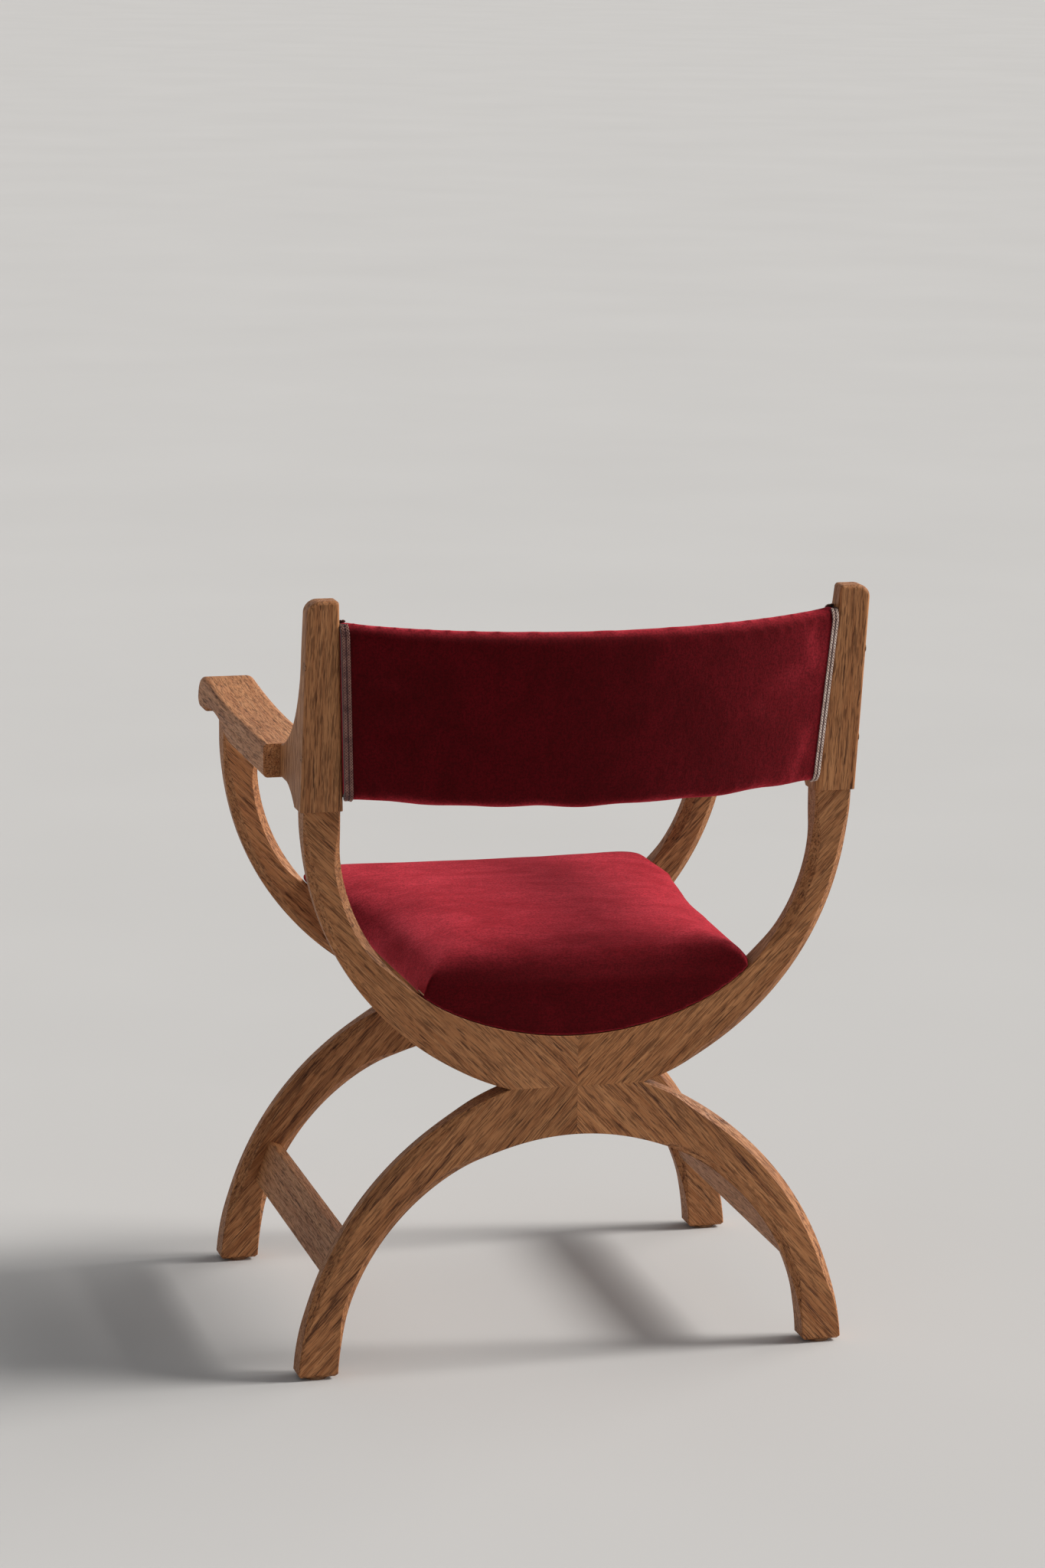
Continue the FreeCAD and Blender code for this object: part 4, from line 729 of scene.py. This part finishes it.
def open_below(bm):
    """Cuts the opening under the seat where the velvet is turned in."""
    for x, y, across, along in ((OPENING_HALF, 0, 1, 0), (-OPENING_HALF, 0, 1, 0),
                                (0, seat_low.y + OPENING_END, 0, 1), (0, seat_high.y - OPENING_END, 0, 1)):
        faces = [face for face in bm.faces if face.calc_center_median().z < seat_low.z + 0.030]
        geom = faces + list({edge for face in faces for edge in face.edges})
        geom += list({vert for face in faces for vert in face.verts})
        bmesh.ops.bisect_plane(bm, geom=geom, dist=1e-6, plane_co=(x, y, 0), plane_no=(across, along, 0))
    inside = []
    for face in bm.faces:
        place = face.calc_center_median()
        low = place.z < seat_low.z + 0.030 and abs(place.x) < OPENING_HALF
        if low and seat_low.y + OPENING_END < place.y < seat_high.y - OPENING_END:
            inside.append(face)
    bmesh.ops.delete(bm, geom=inside, context="FACES")


worked(seat, open_below)
wall = seat.modifiers.new("cloth", "SOLIDIFY")
wall.thickness = CLOTH_THICK
wall.offset = -1.0
applied(seat)
subdivided(seat)
seat.data.shade_smooth()
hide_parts("seat_cover")
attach(seat, "root")


# Back
# The back is a bent plywood core wrapped in foam, with a velvet sleeve drawn round it; it bows
# backwards between the posts, leans back with them and is held by screws through them.
BACK_RAKE = radians(8.5)
BACK_FOOT = Vector((0.0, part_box("rear_upper_left_arc")[1].y + 0.0025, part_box("rear_upper_left_arc")[1].z))
BACK_ROUND, BACK_THICK, BACK_EDGE = 0.708, 0.028, 0.013
BACK_LOW, BACK_TOP = 0.0125, 0.205
POST_INNER, POST_SHIFT, POST_LONG = 0.259, 0.0125, 0.2305
BACK_CENTRE = 0.004 - sqrt(BACK_ROUND ** 2 - (POST_INNER + POST_SHIFT) ** 2)
BACK_GAP = 0.0002
BACK_VOXEL, BACK_SLACK, BACK_SWELL, BACK_SINK = 0.005, 0.001, 0.0020, 0.0005
WAVE_LONG, WAVE_DEEP = 0.080, 0.0015


def lean(bm):
    """Leans a mesh back with the posts, from the foot of their rear faces."""
    bmesh.ops.rotate(bm, verts=bm.verts, cent=(0, 0, 0), matrix=Matrix.Rotation(-BACK_RAKE, 3, "X"))
    bmesh.ops.translate(bm, verts=bm.verts, vec=BACK_FOOT)


def back_end(height, inset):
    """Half the width between the posts at a height on the panel."""
    return POST_INNER + POST_SHIFT * height / POST_LONG - inset


def bow(near, far, low, high, edge, steps, inset):
    """A bowed slab between two radii, its long edges rounded and its ends cut along the posts."""
    bm = bmesh.new()
    bmesh.ops.create_grid(bm, x_segments=1, y_segments=1, size=0.5)
    bmesh.ops.scale(bm, verts=bm.verts, vec=(far - near, high - low, 1))
    bmesh.ops.rotate(bm, verts=bm.verts, cent=(0, 0, 0), matrix=Matrix.Rotation(radians(90), 3, "X"))
    bmesh.ops.rotate(bm, verts=bm.verts, cent=(0, 0, 0), matrix=Matrix.Rotation(radians(90), 3, "Z"))
    bmesh.ops.translate(bm, verts=bm.verts, vec=(0, (near + far) / 2, (low + high) / 2))
    if edge:
        bmesh.ops.bevel(bm, geom=bm.verts[:], offset=edge, offset_type="OFFSET", segments=6, profile=0.5,
                        affect="VERTICES", material=-1)
    half = asin((back_end(high, inset) + 0.01) / near)
    bmesh.ops.rotate(bm, verts=bm.verts, cent=(0, 0, 0), matrix=Matrix.Rotation(-half, 3, "Z"))
    bmesh.ops.spin(bm, geom=bm.faces[:] + bm.edges[:] + bm.verts[:], cent=(0, 0, 0), axis=(0, 0, 1),
                   angle=2 * half, steps=steps, use_merge=False)
    bmesh.ops.translate(bm, verts=bm.verts, vec=(0, BACK_CENTRE, 0))
    for side in (1, -1):
        normal = Vector((side, 0, -POST_SHIFT / POST_LONG)).normalized()
        cut = bmesh.ops.bisect_plane(bm, geom=bm.faces[:] + bm.edges[:] + bm.verts[:], dist=1e-6,
                                     plane_co=(side * back_end(0, inset), 0, 0), plane_no=normal,
                                     clear_outer=True)
        rim = [piece for piece in cut["geom_cut"]
               if isinstance(piece, bmesh.types.BMEdge) and piece.is_boundary]
        bmesh.ops.edgeloop_fill(bm, edges=rim)
    bmesh.ops.remove_doubles(bm, verts=bm.verts, dist=1e-6)
    return bm


def from_post(place):
    """How far a place on the panel lies from the post beside it."""
    return back_end(place.z, BACK_GAP) - abs(place.x)


back_velvet = velvet("back_velvet", (0.0, 90.0, 0.0))
bm = bow(BACK_ROUND - BACK_THICK, BACK_ROUND, BACK_LOW, BACK_TOP, BACK_EDGE, 48, BACK_GAP)
back = finished_object("velvet_back", bm, [back_velvet], 180)
remeshed(back, BACK_VOXEL)
blown(back, lambda place: 1 - ramp(from_post(place), 0.011, 0.026), 3.5, BACK_SLACK, BACK_SWELL, BACK_SINK)


def settle_back(bm):
    """Squares the sleeve's ends to the posts and lets its lower edge wave a little."""
    smoothed(bm, [vert for vert in bm.verts if from_post(vert.co) > 0.012], 4)
    for vert in bm.verts:
        limit = back_end(vert.co.z, BACK_GAP)
        if limit - abs(vert.co.x) < 0.7 * BACK_VOXEL:
            vert.co.x = limit if vert.co.x > 0 else -limit
            reach = sqrt(vert.co.x ** 2 + (vert.co.y - BACK_CENTRE) ** 2)
            for face in (BACK_ROUND, BACK_ROUND - BACK_THICK):
                if abs(reach - face) < 0.7 * BACK_VOXEL:
                    vert.co.y += (face - reach) * (vert.co.y - BACK_CENTRE) / reach
        lowness = 1 - ramp(vert.co.z, BACK_LOW + 0.004, BACK_LOW + 0.030)
        free = ramp(from_post(vert.co), 0.012, 0.060)
        wave = sin(2 * pi * vert.co.x / WAVE_LONG) + 0.6 * sin(2 * pi * vert.co.x / (1.7 * WAVE_LONG) + 1.0)
        vert.co.z -= WAVE_DEEP * lowness * free * (0.5 + wave / 2)


worked(back, settle_back)
subdivided(back)
worked(back, lean)
back.data.shade_smooth()
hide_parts("back_cover")
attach(back, "root")

sleeve = bmesh.new()
sleeve.from_mesh(back.data)
surface = BVHTree.FromBMesh(sleeve)
bm = bmesh.new()
bm.from_mesh(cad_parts["back_foam"].data)
bmesh.ops.remove_doubles(bm, verts=bm.verts, dist=1e-6)
for vert in bm.verts:
    near, normal = surface.find_nearest(vert.co)[:2]
    if (near - vert.co).dot(normal) < FOAM_INSET:
        vert.co = near - normal * FOAM_INSET
sleeve.free()
pad = finished_object("back_pad", bm, [open_foam], 40)
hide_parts("back_foam")
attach(pad, "root")


# Gimp
# Woven braid is glued over the sleeve's raw ends beside the posts: two rows of small silk loops on
# either side of a dark twisted cord, on a narrow dark tape that turns in against the post. The silk
# is given in a lit and a shaded copy: on the left it is darker and rose as painted shade, and on the
# right it is pale, almost white, as painted light from the sitter's right.
GIMP_WIDE, GIMP_PITCH, GIMP_OVER = 0.0084, 0.0031, 72.0
LOOP_ROUND, LOOP_THICK = 0.00125, 0.00050
LOOP_ROWS = (0.0020, 0.0066)
TAPE_TURN, TAPE_WALL = 0.0045, 0.0005
TAPE_LOW, TAPE_TOP = 0.0002, 0.0009


def small_shape(name, bm, slot):
    """A mesh to copy many times."""
    bmesh.ops.recalc_face_normals(bm, faces=bm.faces)
    for face in bm.faces:
        face.material_index = slot
    mesh = bpy.data.meshes.new(name)
    bm.to_mesh(mesh)
    bm.free()
    return mesh


bm = bmesh.new()
bmesh.ops.create_circle(bm, segments=5, radius=LOOP_THICK)
bmesh.ops.translate(bm, verts=bm.verts, vec=(LOOP_ROUND, 0, 0))
bmesh.ops.spin(bm, geom=bm.edges[:] + bm.verts[:], cent=(0, 0, 0), axis=(0, 1, 0), angle=2 * pi,
               steps=9, use_merge=True)
loop = small_shape("loop", bm, 0)
bm = bmesh.new()
bmesh.ops.create_icosphere(bm, subdivisions=1, radius=1.0)
bmesh.ops.scale(bm, verts=bm.verts, vec=(0.00045, 0.0004, 0.0013))
bmesh.ops.rotate(bm, verts=bm.verts, cent=(0, 0, 0), matrix=Matrix.Rotation(radians(32), 3, "Y"))
strand = small_shape("strand", bm, 1)


def braid(name, pale, dark):
    """Silk thread in a worn colour."""
    made, tree, shader = new_material(name)
    place = add(tree, "ShaderNodeTexCoord").outputs["Object"]
    worn = noise(tree, place, (90.0, 90.0, 90.0), 4.0, 0.65).outputs["Fac"]
    thread = noise(tree, place, (2600.0, 2600.0, 900.0), 2.0).outputs["Fac"]
    color = blended(tree, spread(tree, worn, 0.32, 0.68), dark, pale)
    color = blended(tree, math(tree, "MULTIPLY", spread(tree, thread, 0.5, 0.3), 0.5), color, dark)
    dress(tree, shader, color, 0.7, thread, 0.0003)
    shader.inputs["Sheen Weight"].default_value = 0.3
    return made


# Painted light and shade: the left copy is the silk darkened as painted shade, the right copy lightened
# almost to white as painted light from the sitter's right.
silk = {1: braid("gimp_silk_left_painted_shade", (0.40, 0.20, 0.15, 1), (0.16, 0.05, 0.04, 1)),
        -1: braid("gimp_silk_right_painted_light", (0.80, 0.68, 0.60, 1), (0.52, 0.34, 0.27, 1))}
tape = braid("gimp_tape", (0.10, 0.020, 0.018, 1), (0.035, 0.005, 0.006, 1))


def gimp(name, node, side, outward):
    """One strip of gimp along an end of the panel, on its rear (1) or its front (-1) face."""
    straight = BACK_TOP - BACK_LOW - 2 * BACK_EDGE
    round_over = BACK_EDGE * radians(GIMP_OVER)
    long = straight + 2 * round_over

    def seated(along, inset, proud):
        """A place on the panel's face, how far the face has turned over there, and the way it faces."""
        past = max(along - round_over - straight, min(along - round_over, 0.0))
        turn = past / BACK_EDGE
        height = min(max(along - round_over, 0.0), straight) + BACK_LOW + BACK_EDGE
        height += (BACK_EDGE + proud) * sin(turn)
        depth = BACK_EDGE - (BACK_EDGE + proud) * cos(turn)
        reach = BACK_ROUND - depth if outward > 0 else BACK_ROUND - BACK_THICK + depth
        across = back_end(height, inset)
        return Vector((side * across, BACK_CENTRE + sqrt(reach ** 2 - across ** 2), height)), turn

    tilt = asin(back_end(BACK_TOP / 2, GIMP_WIDE / 2) / BACK_ROUND)
    facing = Matrix.Rotation(-side * tilt, 3, "Z")
    facing = facing @ Matrix.Rotation(side * atan2(POST_SHIFT, POST_LONG), 3, "Y")
    bm = bmesh.new()
    for number in range(int(long / GIMP_PITCH)):
        for inset, lift, shape, shift in ((LOOP_ROWS[0], 0.0011, loop, 0.0),
                                          (LOOP_ROWS[1], 0.0011, loop, 0.5),
                                          (sum(LOOP_ROWS) / 2, 0.0013, strand, 0.25)):
            along = GIMP_PITCH * (number + 0.25 + shift)
            place, turn = seated(along, inset, lift)
            before = len(bm.verts)
            bm.from_mesh(shape)
            bm.verts.ensure_lookup_table()
            fresh = bm.verts[before:]
            wobble = radians(10) * sin(number * 2.4 + inset * 4000)
            bmesh.ops.rotate(bm, verts=fresh, cent=(0, 0, 0),
                             matrix=facing @ Matrix.Rotation(outward * turn + wobble, 3, "X"))
            bmesh.ops.translate(bm, verts=fresh, vec=place)
    steps = 40
    loops = []
    for number in range(steps + 1):
        along = long * number / steps
        near = BACK_GAP / 2
        corners = [bm.verts.new(seated(along, inset, lift)[0])
                   for inset, lift in ((near, -TAPE_TURN), (near + TAPE_WALL, -TAPE_TURN),
                                       (near + TAPE_WALL, TAPE_LOW), (GIMP_WIDE, TAPE_LOW),
                                       (GIMP_WIDE, TAPE_TOP), (near, TAPE_TOP))]
        loops.append([bm.edges.new((corners[k - 1], corners[k])) for k in range(len(corners))])
    for first, second in zip(loops, loops[1:]):
        for face in bmesh.ops.bridge_loops(bm, edges=first + second)["faces"]:
            face.material_index = 1
    for edges in (loops[0], loops[-1]):
        for face in bmesh.ops.edgeloop_fill(bm, edges=edges)["faces"]:
            face.material_index = 1
    lean(bm)
    piece = finished_object(name, bm, [silk[side], tape], 50)
    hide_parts(node)
    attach(piece, "root")


for hand, side in (("left", 1), ("right", -1)):
    for face, outward in (("rear", 1), ("front", -1)):
        gimp(f"{hand}_{face}_braid", f"{hand}_{face}_gimp", side, outward)


# Floor and light
# A plain pale floor. The main light comes from the sitter's right, high and a little from behind, like
# sun through a window; a broad faint one comes from the same side, lower and a little from the front,
# and the rest is even.
made, tree, shader = new_material("pale_floor")
place = add(tree, "ShaderNodeTexCoord").outputs["Object"]
faint = noise(tree, place, (1.2, 1.2, 1.2), 3.0).outputs["Fac"]
color = blended(tree, faint, (0.58, 0.575, 0.57, 1), (0.63, 0.625, 0.62, 1))
tree.links.new(color, shader.inputs["Base Color"])
shader.inputs["Roughness"].default_value = 0.9
shader.inputs["Specular IOR Level"].default_value = 0.1
bm = bmesh.new()
bmesh.ops.create_grid(bm, x_segments=1, y_segments=1, size=120.0)
floor = finished_object("floor", bm, [made])

world = bpy.data.worlds.new("studio")
bpy.context.scene.world = world
world.use_nodes = True
tree = world.node_tree
tree.nodes.clear()
rays = add(tree, "ShaderNodeLightPath").outputs
seen = math(tree, "MAXIMUM", rays["Is Camera Ray"],
            math(tree, "MAXIMUM", rays["Is Glossy Ray"], rays["Is Transmission Ray"]))
glow = add(tree, "ShaderNodeBackground", {"Color": (0.97, 0.985, 1.0, 1), "Strength": 0.25})
backdrop = add(tree, "ShaderNodeBackground", {"Color": (0.66, 0.655, 0.65, 1), "Strength": 1.0})
shown = add(tree, "ShaderNodeMixShader", {0: seen, 1: glow.outputs[0], 2: backdrop.outputs[0]})
add(tree, "ShaderNodeOutputWorld", {"Surface": shown.outputs[0]})

for name, travel, energy, wide in (("window", (0.785, -0.085, -0.61), 2.7, 16),
                                   ("wall", (0.90, 0.16, -0.40), 1.7, 60)):
    lamp = bpy.data.objects.new(name, bpy.data.lights.new(name, "SUN"))
    lamp.data.energy = energy
    lamp.data.angle = radians(wide)
    lamp.data.color = (1.0, 0.97, 0.93)
    lamp.rotation_euler = Vector(travel).to_track_quat("-Z", "Y").to_euler()
    bpy.context.scene.collection.objects.link(lamp)


# Camera
# It stands behind the chair, to the sitter's left and above the back, as in the photograph.
CAMERA_PLACE = Vector((1.26280, 4.45270, 1.59583))
YAW, PITCH, ROLL = 0.262722, 0.203653, 0.0117374
IMAGE_LONG, FOCAL_PIXELS, SENSOR = 2048.0, 5831.69, 36.0
look = Vector((-sin(YAW) * cos(PITCH), -cos(YAW) * cos(PITCH), -sin(PITCH)))
right = Vector((look.y, -look.x, 0.0)).normalized()
above = right.cross(look)
right, above = cos(ROLL) * right + sin(ROLL) * above, cos(ROLL) * above - sin(ROLL) * right
camera = bpy.data.objects.new("camera", bpy.data.cameras.new("camera"))
camera.data.sensor_width = SENSOR
camera.data.lens = FOCAL_PIXELS / IMAGE_LONG * SENSOR
camera.data.clip_end = 300.0
camera.matrix_world = Matrix((right, above, -look)).transposed().to_4x4()
camera.location = CAMERA_PLACE + Vector((0.0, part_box("rear_upper_left_arc")[1].y, 0.0))
bpy.context.scene.collection.objects.link(camera)
bpy.context.scene.camera = camera
bpy.context.scene.view_settings.view_transform = "Standard"
